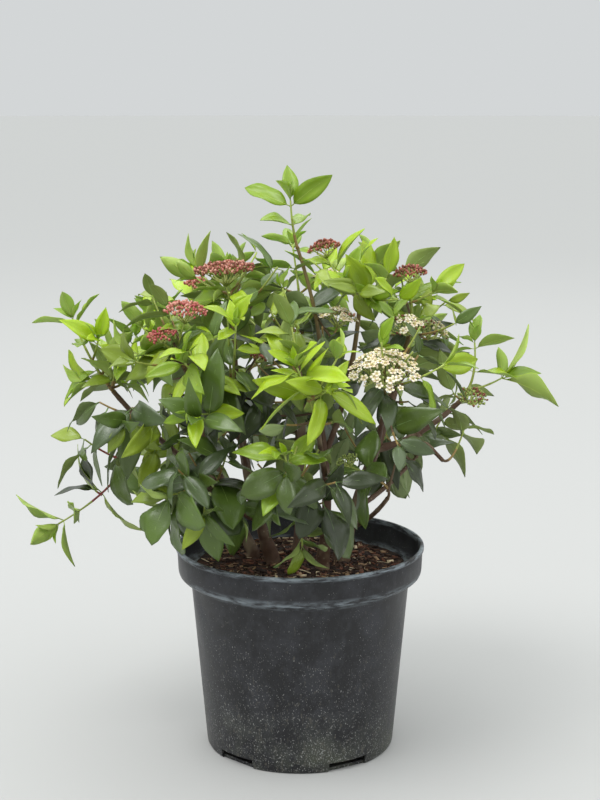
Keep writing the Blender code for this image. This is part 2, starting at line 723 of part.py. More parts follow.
    def fork_for(self, stem_points, tip):
        """The place on the stem that a twig to this tip leaves from."""
        best = None
        best_cost = math.inf
        for index in range(1, FORK_PLACES + 1):
            along = index / FORK_REACH * (len(stem_points) - 1)
            low = int(along)
            place = stem_points[low].lerp(stem_points[low + 1], along - low)
            axis = (stem_points[low + 1] - stem_points[low]).normalized()
            span = tip - place
            cost = span.length * (FORK_BEND - span.normalized().dot(axis))
            if cost < best_cost:
                best = place
                best_cost = cost
        return best

    def grow(self):
        """The stem first, then the set shoots, then the seeded ones."""
        lead = self.row.shoots[0]
        limb_tip = self.limb.points[-1]
        direction = self.limb.directions[-1]
        start = limb_tip + GAP * direction
        stem_radius = min(STEM_RADIUS, 0.9 * self.limb.radii[-1])
        stem = self.add_twig(start, at(lead.tip), stem_radius, direction)
        grown = [(lead, stem)]
        tips = [at(shoot.tip) for shoot in self.row.shoots]
        for shoot in self.row.shoots[1:]:
            twig = self.add_twig(self.fork_for(stem, at(shoot.tip)), at(shoot.tip), TWIG_RADIUS)
            if twig:
                grown.append((shoot, twig))
        seeded = 0
        for _ in range(SHOOT_TRIES * self.row.fill):
            shoot = self.seeded_shoot(tips)
            if shoot is None or seeded == self.row.fill:
                continue
            tip = at(shoot.tip)
            tips.append(tip)
            twig = self.add_twig(self.fork_for(stem, tip), tip, TWIG_RADIUS)
            if twig:
                grown.append((shoot, twig))
                seeded += 1
        for shoot, twig in grown:
            if shoot.head:
                self.add_head(twig, shoot.head * MM)
        for shoot, twig in grown:
            self.dress(twig, shoot)


def shells_of(shape):
    """The separate closed shells of a bmesh, as lists of faces."""
    waiting = set(shape.faces)
    shells = []
    while waiting:
        seed = waiting.pop()
        shell = [seed]
        queue = [seed]
        while queue:
            face = queue.pop()
            for edge in face.edges:
                for other in edge.link_faces:
                    if other in waiting:
                        waiting.remove(other)
                        shell.append(other)
                        queue.append(other)
        shells.append(shell)
    return shells


def keep_main_shell(mesh):
    """Drop loose scraps and the shells of sealed hollows from a joined mesh."""
    shape = bmesh.new()
    shape.from_mesh(mesh)
    shells = sorted(shells_of(shape), key=len)
    for shell in shells[:-1]:
        bmesh.ops.delete(shape, geom=shell, context="FACES")
    shape.to_mesh(mesh)
    shape.free()


def join_solids(name, solids, material, collection):
    """One closed solid from many that overlap, by one union on a collection."""
    helpers = make_collection(f"{name}_parts")
    for index, shape in enumerate(solids[1:]):
        add_object(f"{name}_{index}", mesh_from(name, shape), material, helpers)
    item = add_object(name, mesh_from(name, solids[0]), material, collection)
    union = item.modifiers.new("Join", "BOOLEAN")
    union.operation = "UNION"
    union.operand_type = "COLLECTION"
    union.collection = helpers
    union.solver = "MANIFOLD"
    bpy.context.view_layer.update()
    graph = bpy.context.evaluated_depsgraph_get()
    joined = bpy.data.meshes.new_from_object(item.evaluated_get(graph))
    item.modifiers.clear()
    item.data = joined
    keep_main_shell(joined)
    for helper in list(helpers.objects):
        bpy.data.objects.remove(helper, do_unlink=True)
    bpy.data.collections.remove(helpers)
    return item


def main():
    """Make the pot, the compost, the limbs and the foliage masses."""
    clear_scene()
    plant = make_collection("potted_laurustinus")
    cutters = make_collection("cutters")
    pot_material = make_material("pot_polypropylene", (0.035, 0.036, 0.040), 0.45)
    soil_material = make_material("bark_compost", (0.055, 0.030, 0.018), 0.95)
    bark_material = make_material("bark", (0.115, 0.060, 0.038), 0.80)
    leaf_materials = {
        YOUNG: make_material("leaf_young", (0.270, 0.470, 0.030), 0.42),
        GROWN: make_material("leaf_grown", (0.090, 0.230, 0.040), 0.40),
        OLD: make_material("leaf_old", (0.035, 0.095, 0.045), 0.38),
    }
    make_pot(pot_material, plant, cutters)
    make_soil(soil_material, plant)
    limbs = grow_limbs()
    for limb in limbs.values():
        mesh = mesh_from(limb.name, limb.shape())
        mesh.shade_smooth()
        mesh.set_sharp_from_angle(angle=SHARP_ANGLE)
        add_object(limb.name, mesh, bark_material, plant)
    keep_out = keep_out_shapes(limbs)
    for row in MASSES:
        mass = Foliage(row, limbs[row.limb], keep_out)
        mass.grow()
        join_solids(row.name, mass.solids, leaf_materials[row.colour], plant)


main()
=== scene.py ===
"""Looks of the potted laurustinus: a young evergreen shrub in bud and flower in its nursery pot.

Metres, +Z up, the plant's front to -Y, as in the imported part. The stems, boughs, twigs and
leaves grow by the same seeded rule as the solids, are carried to finer twigs inside the same
spaces, and are then dressed with bark, leaf blades, buds and flowers. Places in the tables are
in millimetres and are turned to metres by at().
"""
import json
import logging
import math
import random
from dataclasses import dataclass, field, replace
from enum import Enum
from typing import Optional, Sequence

import bmesh
import bpy
import numpy as np
from mathutils import Matrix, Vector, noise
from mathutils.bvhtree import BVHTree

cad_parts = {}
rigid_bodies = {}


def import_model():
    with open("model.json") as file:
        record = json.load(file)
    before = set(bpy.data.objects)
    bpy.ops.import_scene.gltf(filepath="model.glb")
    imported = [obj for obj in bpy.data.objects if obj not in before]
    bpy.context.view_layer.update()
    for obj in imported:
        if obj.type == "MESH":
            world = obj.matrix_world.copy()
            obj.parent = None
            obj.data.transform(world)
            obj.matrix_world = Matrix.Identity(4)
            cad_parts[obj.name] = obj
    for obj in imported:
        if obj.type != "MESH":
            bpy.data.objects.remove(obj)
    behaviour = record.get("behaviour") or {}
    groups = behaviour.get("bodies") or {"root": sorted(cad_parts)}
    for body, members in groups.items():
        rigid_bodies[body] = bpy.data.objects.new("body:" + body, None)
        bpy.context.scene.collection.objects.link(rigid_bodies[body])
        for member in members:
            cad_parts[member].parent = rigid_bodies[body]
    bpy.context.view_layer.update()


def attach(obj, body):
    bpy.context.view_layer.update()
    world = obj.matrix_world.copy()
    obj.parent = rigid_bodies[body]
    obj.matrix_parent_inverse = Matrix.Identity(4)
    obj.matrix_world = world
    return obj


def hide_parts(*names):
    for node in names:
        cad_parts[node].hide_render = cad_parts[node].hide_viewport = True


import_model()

Shape = bmesh.types.BMesh
Socket = bpy.types.NodeSocket
LOG = logging.getLogger("potted_laurustinus")
MM = 0.001
UP = Vector((0.0, 0.0, 1.0))
EYE = Vector((0.0, -1.187, 0.495))
BODY = "root"
# How light spreads under a leaf's skin: mostly its green, within 0.6 millimetres
GREEN_GLOW = (0.6, 1.0, 0.2)
GLOW_DEPTH = 0.6 * MM
# How rough the fine layers of a material's clouds are
CLOUD_ROUGHNESS = 0.62
# A direction that no twig or limb runs in, to start a tube's ring from
RING_START = (0.31, 0.95, 0.05)


@dataclass(frozen=True)
class Kind:
    """How leaves of one age are shaped and held; node spacing in millimetres from the tip."""

    name: str
    width: float
    light: float
    droop: float
    arch: float
    fold: float
    spacing: tuple


@dataclass(frozen=True)
class Stem:
    """A stem from the compost: foot and tip places, bow and radii in millimetres."""

    name: str
    foot: tuple
    tip: tuple
    bow: tuple
    foot_radius: float
    tip_radius: float


@dataclass(frozen=True)
class Bough:
    """A bough that leaves its parent limb at a share of the parent's length."""

    name: str
    parent: str
    share: float
    tip: tuple
    bow: tuple
    foot_radius: float
    tip_radius: float


@dataclass(frozen=True)
class Shoot:
    """A twig's tip with the leaves it bears, and the radius of its flower head, if any."""

    tip: Sequence
    leaf: float
    pairs: int
    turn: float
    age: Kind
    head: float = 0


@dataclass(frozen=True)
class Mass:
    """A foliage mass: the limb it stands on, the middle of its space and its set shoots."""

    name: str
    limb: str
    centre: tuple
    seed: int
    fill: int
    shoots: tuple


YOUNG = Kind("young", 0.46, 0.15, 0.00, 0.16, 0.20, (0, 5, 21, 38, 56))
FLUSH = Kind("flush", 0.38, 0.05, 0.00, 0.22, 0.16, (0, 4, 10, 17, 30))
GROWN = Kind("grown", 0.48, 0.35, 0.22, 0.26, 0.14, (0, 6, 23, 41, 60))
OLD = Kind("old", 0.48, 0.45, 0.55, 0.32, 0.10, (0, 8, 26, 46, 66))

STEMS = (
    Stem("stem_left", (-22, 6), (-47, 0, 268), (-9, 0, 0), 4.4, 2.9),
    Stem("stem_left_back", (-37, 20), (-86, 48, 262), (-4, -4, 0), 3.8, 2.5),
    Stem("stem_middle", (17, -12), (14, -28, 262), (9, 0, 0), 4.0, 2.5),
    Stem("stem_right", (32, 10), (64, 4, 250), (-2, 0, 0), 5.0, 3.5),
    Stem("stem_back", (0, 32), (2, 62, 290), (0, 6, 0), 4.2, 2.7),
)

BOUGHS = (
    Bough("bough_top_left", "stem_left", 1.0, (-49, -13, 322), (-3, 2, 0), 2.6, 2.0),
    Bough("bough_left_inner", "stem_left", 0.80, (-84, -38, 300), (-5, -2, -8), 2.2, 1.7),
    Bough("bough_left", "stem_left", 0.48, (-140, -3, 276), (-8, 0, -14), 2.8, 1.8),
    Bough("bough_left_front", "bough_left", 0.55, (-112, -40, 262), (0, -4, -4), 1.9, 1.6),
    Bough("bough_left_low", "bough_left", 0.72, (-132, 12, 222), (-3, 3, 6), 1.8, 1.5),
    Bough("bough_front_left", "stem_left", 0.66, (-50, -48, 274), (2, -6, -6), 2.1, 1.6),
    Bough("bough_front_left_low", "stem_left", 0.36, (-62, -62, 214), (0, -4, -5), 2.1, 1.6),
    Bough("bough_leader", "stem_middle", 0.93, (-2, 2, 384), (14, 6, 0), 2.2, 1.5),
    Bough("bough_top_right", "stem_middle", 0.78, (44, -16, 344), (8, 0, -4), 2.2, 1.6),
    Bough("bough_front", "stem_middle", 0.62, (12, -108, 270), (2, -6, -12), 2.2, 1.7),
    Bough("bough_front_low", "stem_middle", 0.33, (0, -86, 208), (-2, -4, -6), 2.0, 1.6),
    Bough("bough_right_up", "stem_right", 1.0, (81, 2, 316), (2, 0, 0), 3.0, 2.0),
    Bough("bough_right", "stem_right", 0.84, (120, -2, 268), (3, 0, -10), 2.7, 1.8),
    Bough("bough_right_low", "bough_right", 0.45, (106, -22, 228), (3, -2, -3), 1.8, 1.5),
    Bough("bough_front_right", "stem_right", 0.70, (60, -58, 272), (2, -5, -8), 2.2, 1.7),
    Bough("bough_front_right_low", "stem_right", 0.34, (64, -46, 204), (2, -3, -5), 2.0, 1.6),
    Bough("bough_back_left_low", "stem_left_back", 0.42, (-92, 66, 206), (-2, 2, -5), 2.0, 1.6),
    Bough("bough_back_low", "stem_back", 0.45, (-2, 92, 214), (0, 3, -6), 2.1, 1.6),
    Bough("bough_back_right", "stem_right", 0.92, (82, 58, 286), (0, 6, -6), 2.4, 1.8),
    Bough("bough_back_right_low", "stem_right", 0.46, (88, 60, 206), (0, 4, -6), 2.0, 1.6),
)

MASSES = (
    Mass("foliage_leader", "bough_leader", (-8, 5, 420), 11, 0, (
        Shoot((-7, 0, 419), 36, 3, 75, YOUNG),
    )),
    Mass("foliage_top_left", "bough_top_left", (-58, -10, 366), 412, 2, (
        Shoot((-55, -20, 370), 38, 3, 60, YOUNG, 22),
        Shoot((-76, -8, 362), 40, 3, 10, YOUNG),
        Shoot((-42, 12, 368), 36, 3, 70, GROWN),
    )),
    Mass("foliage_left_inner", "bough_left_inner", (-104, -36, 322), 13, 1, (
        Shoot((-82, -52, 343), 38, 3, 0, YOUNG, 17),
        Shoot((-98, -62, 327), 34, 2, 90, GROWN, 10),
        Shoot((-116, -14, 326), 34, 3, 30, YOUNG),
        Shoot((-123, -34, 312), 33, 2, 75, YOUNG),
    )),
    Mass("foliage_left", "bough_left", (-158, -6, 310), 14, 1, (
        Shoot((-170, 0, 331), 31, 4, 15, YOUNG),
        Shoot((-149, -18, 318), 31, 3, 60, YOUNG),
        Shoot((-160, -6, 284), 34, 2, 40, YOUNG),
    )),
    Mass("foliage_left_front", "bough_left_front", (-128, -58, 258), 15, 2, (
        Shoot((-120, -66, 276), 54, 3, 35, OLD),
        Shoot((-146, -44, 276), 48, 2, 10, OLD),
    )),
    Mass("foliage_left_low", "bough_left_low", (-168, 14, 205), 16, 0, (
        Shoot((-186, 6, 171), 38, 3, 20, YOUNG),
        Shoot((-164, 4, 238), 42, 2, 0, GROWN),
        Shoot((-158, 12, 196), 46, 1, 90, OLD),
    )),
    Mass("foliage_front_left", "bough_front_left", (-44, -80, 296), 17, 3, (
        Shoot((-30, -52, 309), 46, 3, 20, OLD, 9),
        Shoot((-58, -80, 300), 54, 3, 75, OLD),
    )),
    Mass("foliage_front_left_low", "bough_front_left_low", (-72, -82, 214), 18, 3, (
        Shoot((-72, -80, 226), 46, 3, 30, OLD),
        Shoot((-94, -80, 204), 42, 2, 5, GROWN),
    )),
    Mass("foliage_centre", "stem_middle", (10, -34, 316), 19, 3, (
        Shoot((28, -32, 336), 46, 3, 45, OLD, 18),
        Shoot((-8, -20, 334), 44, 3, 15, OLD),
    )),
    Mass("foliage_top_right", "bough_top_right", (44, -14, 368), 20, 0, (
        Shoot((48, -36, 352), 38, 3, 25, YOUNG),
        Shoot((18, -12, 384), 34, 2, 70, YOUNG, 12),
        Shoot((54, 0, 370), 38, 3, 50, YOUNG),
        Shoot((34, -40, 362), 34, 2, 0, YOUNG),
    )),
    Mass("foliage_front", "bough_front", (12, -124, 306), 21, 1, (
        Shoot((-2, -130, 316), 42, 4, 8, FLUSH),
        Shoot((20, -134, 303), 42, 4, 50, FLUSH),
    )),
    Mass("foliage_front_low", "bough_front_low", (-4, -116, 228), 22, 2, (
        Shoot((-10, -132, 256), 38, 3, 80, YOUNG),
        Shoot((-10, -108, 224), 46, 3, 20, OLD),
        Shoot((16, -104, 216), 52, 2, 60, OLD),
    )),
    Mass("foliage_right_up", "bough_right_up", (92, 2, 348), 23, 0, (
        Shoot((82, 0, 364), 38, 3, 0, YOUNG, 12),
        Shoot((98, -6, 352), 38, 3, 35, YOUNG),
        Shoot((100, 12, 320), 42, 2, 60, OLD, 12),
        Shoot((78, -22, 328), 42, 2, 15, OLD, 12),
    )),
    Mass("foliage_right", "bough_right", (142, 4, 290), 24, 1, (
        Shoot((131, 0, 313), 32, 3, 60, YOUNG),
        Shoot((152, 0, 286), 54, 1, 60, YOUNG),
        Shoot((128, -18, 274), 42, 2, 70, GROWN, 11),
    )),
    Mass("foliage_right_low", "bough_right_low", (126, -26, 226), 25, 0, (
        Shoot((124, -8, 250), 38, 2, 10, GROWN),
        Shoot((106, -52, 252), 50, 2, 45, OLD),
    )),
    Mass("foliage_front_right", "bough_front_right", (68, -84, 292), 26, 1, (
        Shoot((59, -90, 306), 48, 2, 30, OLD, 24),
        Shoot((84, -66, 314), 54, 3, 80, OLD),
        Shoot((76, -84, 284), 60, 2, 20, OLD),
    )),
    Mass("foliage_front_right_low", "bough_front_right_low", (60, -66, 240), 127, 1, (
        Shoot((34, -80, 240), 36, 2, 10, GROWN, 8),
        Shoot((72, -58, 248), 42, 2, 55, OLD),
    )),
    Mass("foliage_back_left", "stem_left_back", (-104, 72, 300), 28, 3, (
        Shoot((-112, 74, 322), 38, 4, 20, YOUNG),
        Shoot((-78, 58, 348), 36, 3, 60, YOUNG, 14),
    )),
    Mass("foliage_back_left_low", "bough_back_left_low", (-104, 82, 214), 29, 2, (
        Shoot((-128, 84, 222), 44, 3, 0, GROWN),
    )),
    Mass("foliage_back", "stem_back", (-2, 92, 332), 30, 3, (
        Shoot((-6, 72, 380), 36, 4, 10, YOUNG),
        Shoot((24, 108, 346), 36, 3, 50, YOUNG, 16),
    )),
    Mass("foliage_back_low", "bough_back_low", (-4, 118, 226), 31, 2, (
        Shoot((-10, 130, 246), 44, 3, 45, GROWN),
    )),
    Mass("foliage_back_right", "bough_back_right", (92, 80, 306), 32, 3, (
        Shoot((98, 78, 334), 38, 4, 30, YOUNG),
        Shoot((70, 62, 350), 36, 3, 0, YOUNG),
    )),
    Mass("foliage_back_right_low", "bough_back_right_low", (102, 80, 218), 33, 2, (
        Shoot((120, 84, 248), 42, 3, 75, GROWN),
    )),
)


def at(place: Sequence) -> Vector:
    """A place given in millimetres, as a vector in metres."""
    return Vector(place) * MM


def linear(colour: str) -> tuple:
    """An sRGB hex colour as linear red, green, blue and alpha.

    Args:
        colour: The colour as a hash and six hex digits.

    Returns:
        Four numbers from 0 to 1.
    """
    parts = [int(colour[start:start + 2], 16) / 255 for start in (1, 3, 5)]
    turned = [
        part / 12.92 if part <= 0.04045 else ((part + 0.055) / 1.055) ** 2.4 for part in parts
    ]
    return (*turned, 1.0)


def add_node(tree: bpy.types.NodeTree, kind: str, settings: dict, links: dict) -> bpy.types.Node:
    """Add a node with its settings and links.

    Args:
        tree: The node tree.
        kind: The node's type.
        settings: Values by the name of a property, or by the name or number of an input.
        links: Output sockets by the name or number of the input that each feeds.

    Returns:
        The new node.
    """
    node = tree.nodes.new(kind)
    for name, value in settings.items():
        if isinstance(name, str) and hasattr(node, name):
            setattr(node, name, value)
    for name, value in settings.items():
        if not (isinstance(name, str) and hasattr(node, name)):
            node.inputs[name].default_value = value
    for name, socket in links.items():
        tree.links.new(socket, node.inputs[name])
    return node


@dataclass
class Weave:
    """A material's nodes, with short words for those that the finishes share."""

    tree: bpy.types.NodeTree

    def __post_init__(self) -> None:
        """Start from places on the object, and their height."""
        self.place = self.node("TexCoord", {}, {}).outputs["Object"]
        self.height = self.node("SeparateXYZ", {}, {0: self.place}).outputs[2]

    def node(self, kind: str, settings: dict, links: dict) -> bpy.types.Node:
        """A shader node of a kind, set and linked."""
        return add_node(self.tree, f"ShaderNode{kind}", settings, links)

    def noise(self, spacing_mm: float, detail: float, tall: float = 1.0) -> Socket:
        """Clouds of a real spacing, drawn out upwards or flattened by a factor.

        Args:
            spacing_mm: The clouds' spacing in millimetres.
            detail: How many finer layers they have.
            tall: How far they are drawn out upwards.

        Returns:
            The clouds' value.
        """
        place = self.place
        if tall != 1.0:
            stretch = {"Scale": (1.0, 1.0, 1.0 / tall)}
            place = self.node("Mapping", stretch, {"Vector": place}).outputs[0]
        return self.node("TexNoise", {
            "Scale": 1.0 / (spacing_mm * MM), "Detail": detail, "Roughness": CLOUD_ROUGHNESS,
        }, {"Vector": place}).outputs[0]

    def share(self, value: Socket, low: float, high: float,
              top: float = 1.0, foot: float = 0.0) -> Socket:
        """A share that runs from its foot at a low value to its top at a high one.

        Args:
            value: What it is worked out from.
            low: The value at its foot.
            high: The value at its top.
            top: The share at the high value.
            foot: The share at the low value.

        Returns:
            The share.
        """
        settings = {"From Min": low, "From Max": high, "To Min": foot, "To Max": top}
        return self.node("MapRange", settings, {"Value": value}).outputs[0]

    def sum(self, operation: str, *values: Socket | float) -> Socket:
        """A sum of two or three values, which may be sockets or numbers.

        Args:
            operation: The kind of sum.
            values: Its two or three values.

        Returns:
            The result.
        """
        settings = {"operation": operation}
        links = {}
        for number, value in enumerate(values):
            (settings if isinstance(value, float) else links)[number] = value
        return self.node("Math", settings, links).outputs[0]

    def over(self, under: Socket | str, colour: str,
             share: Socket) -> Socket:
        """A colour laid by a share over another, which may be a socket or a colour.

        Args:
            under: What lies underneath.
            colour: What is laid over it.
            share: How much of it shows.

        Returns:
            The mixed colour.
        """
        settings = {"data_type": "RGBA", 7: linear(colour)}
        links = {0: share}
        if isinstance(under, str):
            settings[6] = linear(under)
        else:
            links[6] = under
        return self.node("Mix", settings, links).outputs[2]

    def finish(self, shader: bpy.types.Node, colour: Socket,
               relief: Socket, depth_mm: float, strength: float) -> None:
        """Give the shader its colour and its relief.

        Args:
            shader: The material's shader.
            colour: Its colour, or none to keep a plain one.
            relief: Its height.
            depth_mm: The relief's depth in millimetres.
            strength: The relief's strength.
        """
        bump = self.node(
            "Bump", {"Strength": strength, "Distance": depth_mm * MM}, {"Height": relief}
        ).outputs[0]
        self.tree.links.new(bump, shader.inputs["Normal"])
        if colour:
            self.tree.links.new(colour, shader.inputs["Base Color"])


@dataclass(frozen=True)
class Finish:
    """A plain finish: one colour, its gloss and a fine grain.

    The grain size is the real spacing of the surface's roughness in millimetres.
    """

    name: str
    colour: str
    roughness: float
    ior: float = 1.45
    coat: float = 0.0
    coat_roughness: float = 0.3
    subsurface: float = 0.0
    sheen: float = 0.0
    grain_mm: float = 0.0
    grain_depth: float = 0.0

    def material(self) -> bpy.types.Material:
        """Make the material with its uniform values set on the shader's own sockets.

        Returns:
            The material.
        """
        material = bpy.data.materials.new(self.name)
        material.use_nodes = True
        shader = material.node_tree.nodes["Principled BSDF"]
        values = {
            "Base Color": linear(self.colour), "Roughness": self.roughness, "IOR": self.ior,
            "Coat Weight": self.coat, "Coat Roughness": self.coat_roughness,
            "Subsurface Weight": self.subsurface, "Subsurface Radius": GREEN_GLOW,
            "Subsurface Scale": GLOW_DEPTH, "Sheen Weight": self.sheen,
        }
        for name, value in values.items():
            shader.inputs[name].default_value = value
        self.paint(shader)
        return material

    def paint(self, shader: bpy.types.Node) -> None:
        """Give the shader its fine grain, if it has one.

        Args:
            shader: The material's shader.
        """
        if self.grain_mm:
            weave = Weave(shader.id_data)
            weave.finish(shader, None, weave.noise(self.grain_mm, 2.0), self.grain_depth, 0.5)


def plant_finish(name: str, colour: str, roughness: float, **rest: float) -> Finish:
    """A plain finish of the shrub's own, named for it."""
    return Finish(f"laurustinus_{name}", colour, roughness, **rest)


# The grain and the wax of each skin
SPRING_SKIN = {"grain_mm": 1.6, "grain_depth": 0.25}
GROWN_SKIN = {"coat_roughness": 0.35, "grain_mm": 1.4, "grain_depth": 0.35}
OLD_SKIN = {"coat_roughness": 0.4, "grain_mm": 1.2, "grain_depth": 0.45}
TWIG_SKIN = {"grain_mm": 0.8, "grain_depth": 0.15}
FLAKE_SKIN = {"grain_mm": 0.6, "grain_depth": 0.3}
PETAL_SKIN = {"subsurface": 0.15, "sheen": 0.1}

# Spring leaves are thin and soft: light shines through, and they have little gloss
LEAF_LIME = plant_finish("leaf_spring_lime", "#9fba22", 0.36, subsurface=0.25, **SPRING_SKIN)
LEAF_BRIGHT = plant_finish("leaf_spring_bright", "#93ac1e", 0.36, subsurface=0.22, **SPRING_SKIN)
LEAF_FRESH = plant_finish("leaf_spring_fresh", "#7f9b26", 0.36, subsurface=0.18, **SPRING_SKIN)
LEAF_SOFT_UNDER = plant_finish("leaf_spring_underside", "#9db256", 0.55, subsurface=0.25)
RIB_LIME = plant_finish("midrib_spring", "#b3c65c", 0.45)
# Grown leaves are firm, with the satin of a thin wax
LEAF_MID = plant_finish("leaf_grown_mid", "#748824", 0.31, coat=0.12, **GROWN_SKIN)
LEAF_MEADOW = plant_finish("leaf_grown_meadow", "#879b2c", 0.31, coat=0.12, **GROWN_SKIN)
# The moss tint also serves as painted shade for grown leaves deep inside the crown
LEAF_MOSS = plant_finish("leaf_grown_moss", "#546b2a", 0.31, coat=0.14, **GROWN_SKIN)
LEAF_MID_UNDER = plant_finish("leaf_grown_underside", "#8a9c52", 0.55)
RIB_PALE = plant_finish("midrib_grown", "#9db868", 0.45)
# Old leaves are leathery and waxed: a broad grey sheen lies over the dark green
# The dark tint also serves as painted shade for old leaves deep inside the crown
LEAF_DARK = plant_finish("leaf_old_dark", "#293512", 0.30, coat=0.3, **OLD_SKIN)
LEAF_BLUE = plant_finish("leaf_old_blue", "#43542c", 0.30, coat=0.5, **OLD_SKIN)
LEAF_DEEP = plant_finish("leaf_old_deep", "#45581c", 0.30, coat=0.35, **OLD_SKIN)
LEAF_OLD_UNDER = plant_finish("leaf_old_underside", "#7b8b58", 0.6)
RIB_OLD = plant_finish("midrib_old", "#7f9a62", 0.5)

# Twigs: woody brown, ripening red, and soft green at the season's end
TWIG_WOOD = plant_finish("twig_wood", "#675440", 0.7, grain_mm=0.8, grain_depth=0.3)
TWIG_RED = plant_finish("twig_red", "#86403c", 0.5, **TWIG_SKIN)
TWIG_TAN = plant_finish("twig_tan", "#8f7744", 0.5, **TWIG_SKIN)
TWIG_GREEN = plant_finish("twig_green", "#94a049", 0.45, subsurface=0.1)
TWIG_LIME = plant_finish("twig_lime", "#a9b95a", 0.45, subsurface=0.15)

# Blossom: waxy buds, and thin matt petals
BUD_PINK = plant_finish("bud_pink", "#b46c5c", 0.5, subsurface=0.1)
BUD_ROSE = plant_finish("bud_rose", "#cf9583", 0.5, subsurface=0.1)
BUD_MAGENTA = plant_finish("bud_magenta", "#a9524f", 0.45, subsurface=0.1)
BUD_BROWN = plant_finish("bud_brown", "#804a38", 0.55)
BUD_GREEN = plant_finish("bud_green", "#8f9e52", 0.5)
BUD_CREAM = plant_finish("bud_cream", "#e6d9b4", 0.5, subsurface=0.1)
RAY_GREEN = plant_finish("cyme_ray_green", "#b0ba68", 0.5, subsurface=0.1)
PETAL = plant_finish("petal", "#f5ecd5", 0.6, **PETAL_SKIN)
PETAL_BLUSH = plant_finish("petal_blush", "#ecdcbe", 0.6, **PETAL_SKIN)
ANTHER = plant_finish("anther", "#e4d493", 0.6)

# Shredded bark: matt flakes from nearly black to pale inner wood
CHIP_DARK = Finish("bark_flake_dark", "#2b1a13", 0.85, **FLAKE_SKIN)
CHIP_BROWN = Finish("bark_flake_brown", "#463022", 0.85, **FLAKE_SKIN)
CHIP_RED = Finish("bark_flake_red", "#6a4230", 0.8, **FLAKE_SKIN)
CHIP_TAN = Finish("bark_flake_tan", "#9c7f60", 0.8, grain_mm=0.6, grain_depth=0.2)
CHIP_PALE = Finish("bark_flake_pale", "#d9c6a4", 0.8)

STAGE = Finish("studio_floor_paper", "#b0b0ae", 0.9)


@dataclass(frozen=True)
class HeadStyle:
    """A flower head's state: bud finishes, doming, share open, size of bud and spread."""

    buds: tuple
    doming: float
    open_share: float = 0.0
    bud_size: float = 1.0
    spread: float = 1.0


class Blossom(Enum):
    """The states of flower head that the shrub bears at one time."""

    DUSTY_BUDS = HeadStyle((BUD_PINK, BUD_ROSE, BUD_BROWN, BUD_BROWN), 0.16)
    PINK_BUDS = HeadStyle((BUD_PINK, BUD_ROSE, BUD_PINK, BUD_MAGENTA), 0.42)
    MAGENTA_BUDS = HeadStyle((BUD_MAGENTA, BUD_MAGENTA, BUD_PINK), 0.36)
    BROWN_BUDS = HeadStyle((BUD_BROWN, BUD_PINK, BUD_BROWN), 0.5, bud_size=0.95)
    GREEN_BUDS = HeadStyle((BUD_GREEN,), 0.36, bud_size=0.75)
    OLIVE_BUDS = HeadStyle((BUD_GREEN, BUD_BROWN, BUD_GREEN), 0.5, bud_size=0.9)
    OPEN = HeadStyle((BUD_CREAM, BUD_CREAM, BUD_GREEN), 0.56, 0.66)
    HALF_OPEN = HeadStyle((BUD_CREAM, BUD_ROSE, BUD_CREAM), 0.5, 0.75, spread=1.4)
    FADED = HeadStyle((BUD_CREAM, BUD_BROWN, BUD_GREEN), 0.5, 0.35, 0.9, 1.1)


BLOSSOMS = {
    "foliage_top_left": (Blossom.DUSTY_BUDS,),
    "foliage_left_inner": (Blossom.PINK_BUDS, Blossom.MAGENTA_BUDS),
    "foliage_front_left": (Blossom.BROWN_BUDS,),
    "foliage_centre": (Blossom.HALF_OPEN,),
    "foliage_top_right": (Blossom.BROWN_BUDS,),
    "foliage_right_up": (Blossom.BROWN_BUDS, Blossom.FADED, Blossom.FADED),
    "foliage_right": (Blossom.OLIVE_BUDS,),
    "foliage_front_right": (Blossom.OPEN,),
    "foliage_front_right_low": (Blossom.GREEN_BUDS,),
    "foliage_back_left": (Blossom.PINK_BUDS,),
    "foliage_back": (Blossom.OPEN,),
}


@dataclass(frozen=True)
class BarkFinish(Finish):
    """Young laurustinus bark: satin reddish brown with pale lenticels and grey patches.

    The eye sees the length of the grain, small raised dots and a dull grey bloom.
    """

    streak_mm: float = 2.2
    patch_mm: float = 18.0
    lenticel_mm: float = 4.5
    pale: str = "#8f8068"
    red: str = "#684c39"
    olive: str = "#7c6c3c"
    green_from: float = 262 * MM
    green_to: float = 345 * MM
    green_top: float = 0.75
    streak_tall: float = 4.5

    # Each ramp's foot and top, and what shows at its top; then the relief's depth and strength
    PATCHES = (0.48, 0.68, 0.7)
    LENTICELS = (0.2, 0.1, 0.6)
    RELIEF = (0.4, 0.6)

    def paint(self, shader: bpy.types.Node) -> None:
        """Mix streaks and patches, turn olive upwards and raise the lenticels.

        Args:
            shader: The material's shader.
        """
        weave = Weave(shader.id_data)
        streaks = weave.noise(self.streak_mm, 4.0, tall=self.streak_tall)
        patches = weave.noise(self.patch_mm, 2.0)
        colour = weave.over(self.colour, self.red, streaks)
        colour = weave.over(colour, self.pale, weave.share(patches, *self.PATCHES))
        green = weave.share(weave.height, self.green_from, self.green_to, top=self.green_top)
        colour = weave.over(colour, self.olive, green)
        dots = weave.node(
            "TexVoronoi", {"Scale": 1.0 / (self.lenticel_mm * MM)}, {"Vector": weave.place}
        ).outputs["Distance"]
        dot_share = weave.share(dots, *self.LENTICELS)
        colour = weave.over(colour, self.pale, dot_share)
        weave.finish(shader, colour, weave.sum("ADD", streaks, dot_share), *self.RELIEF)


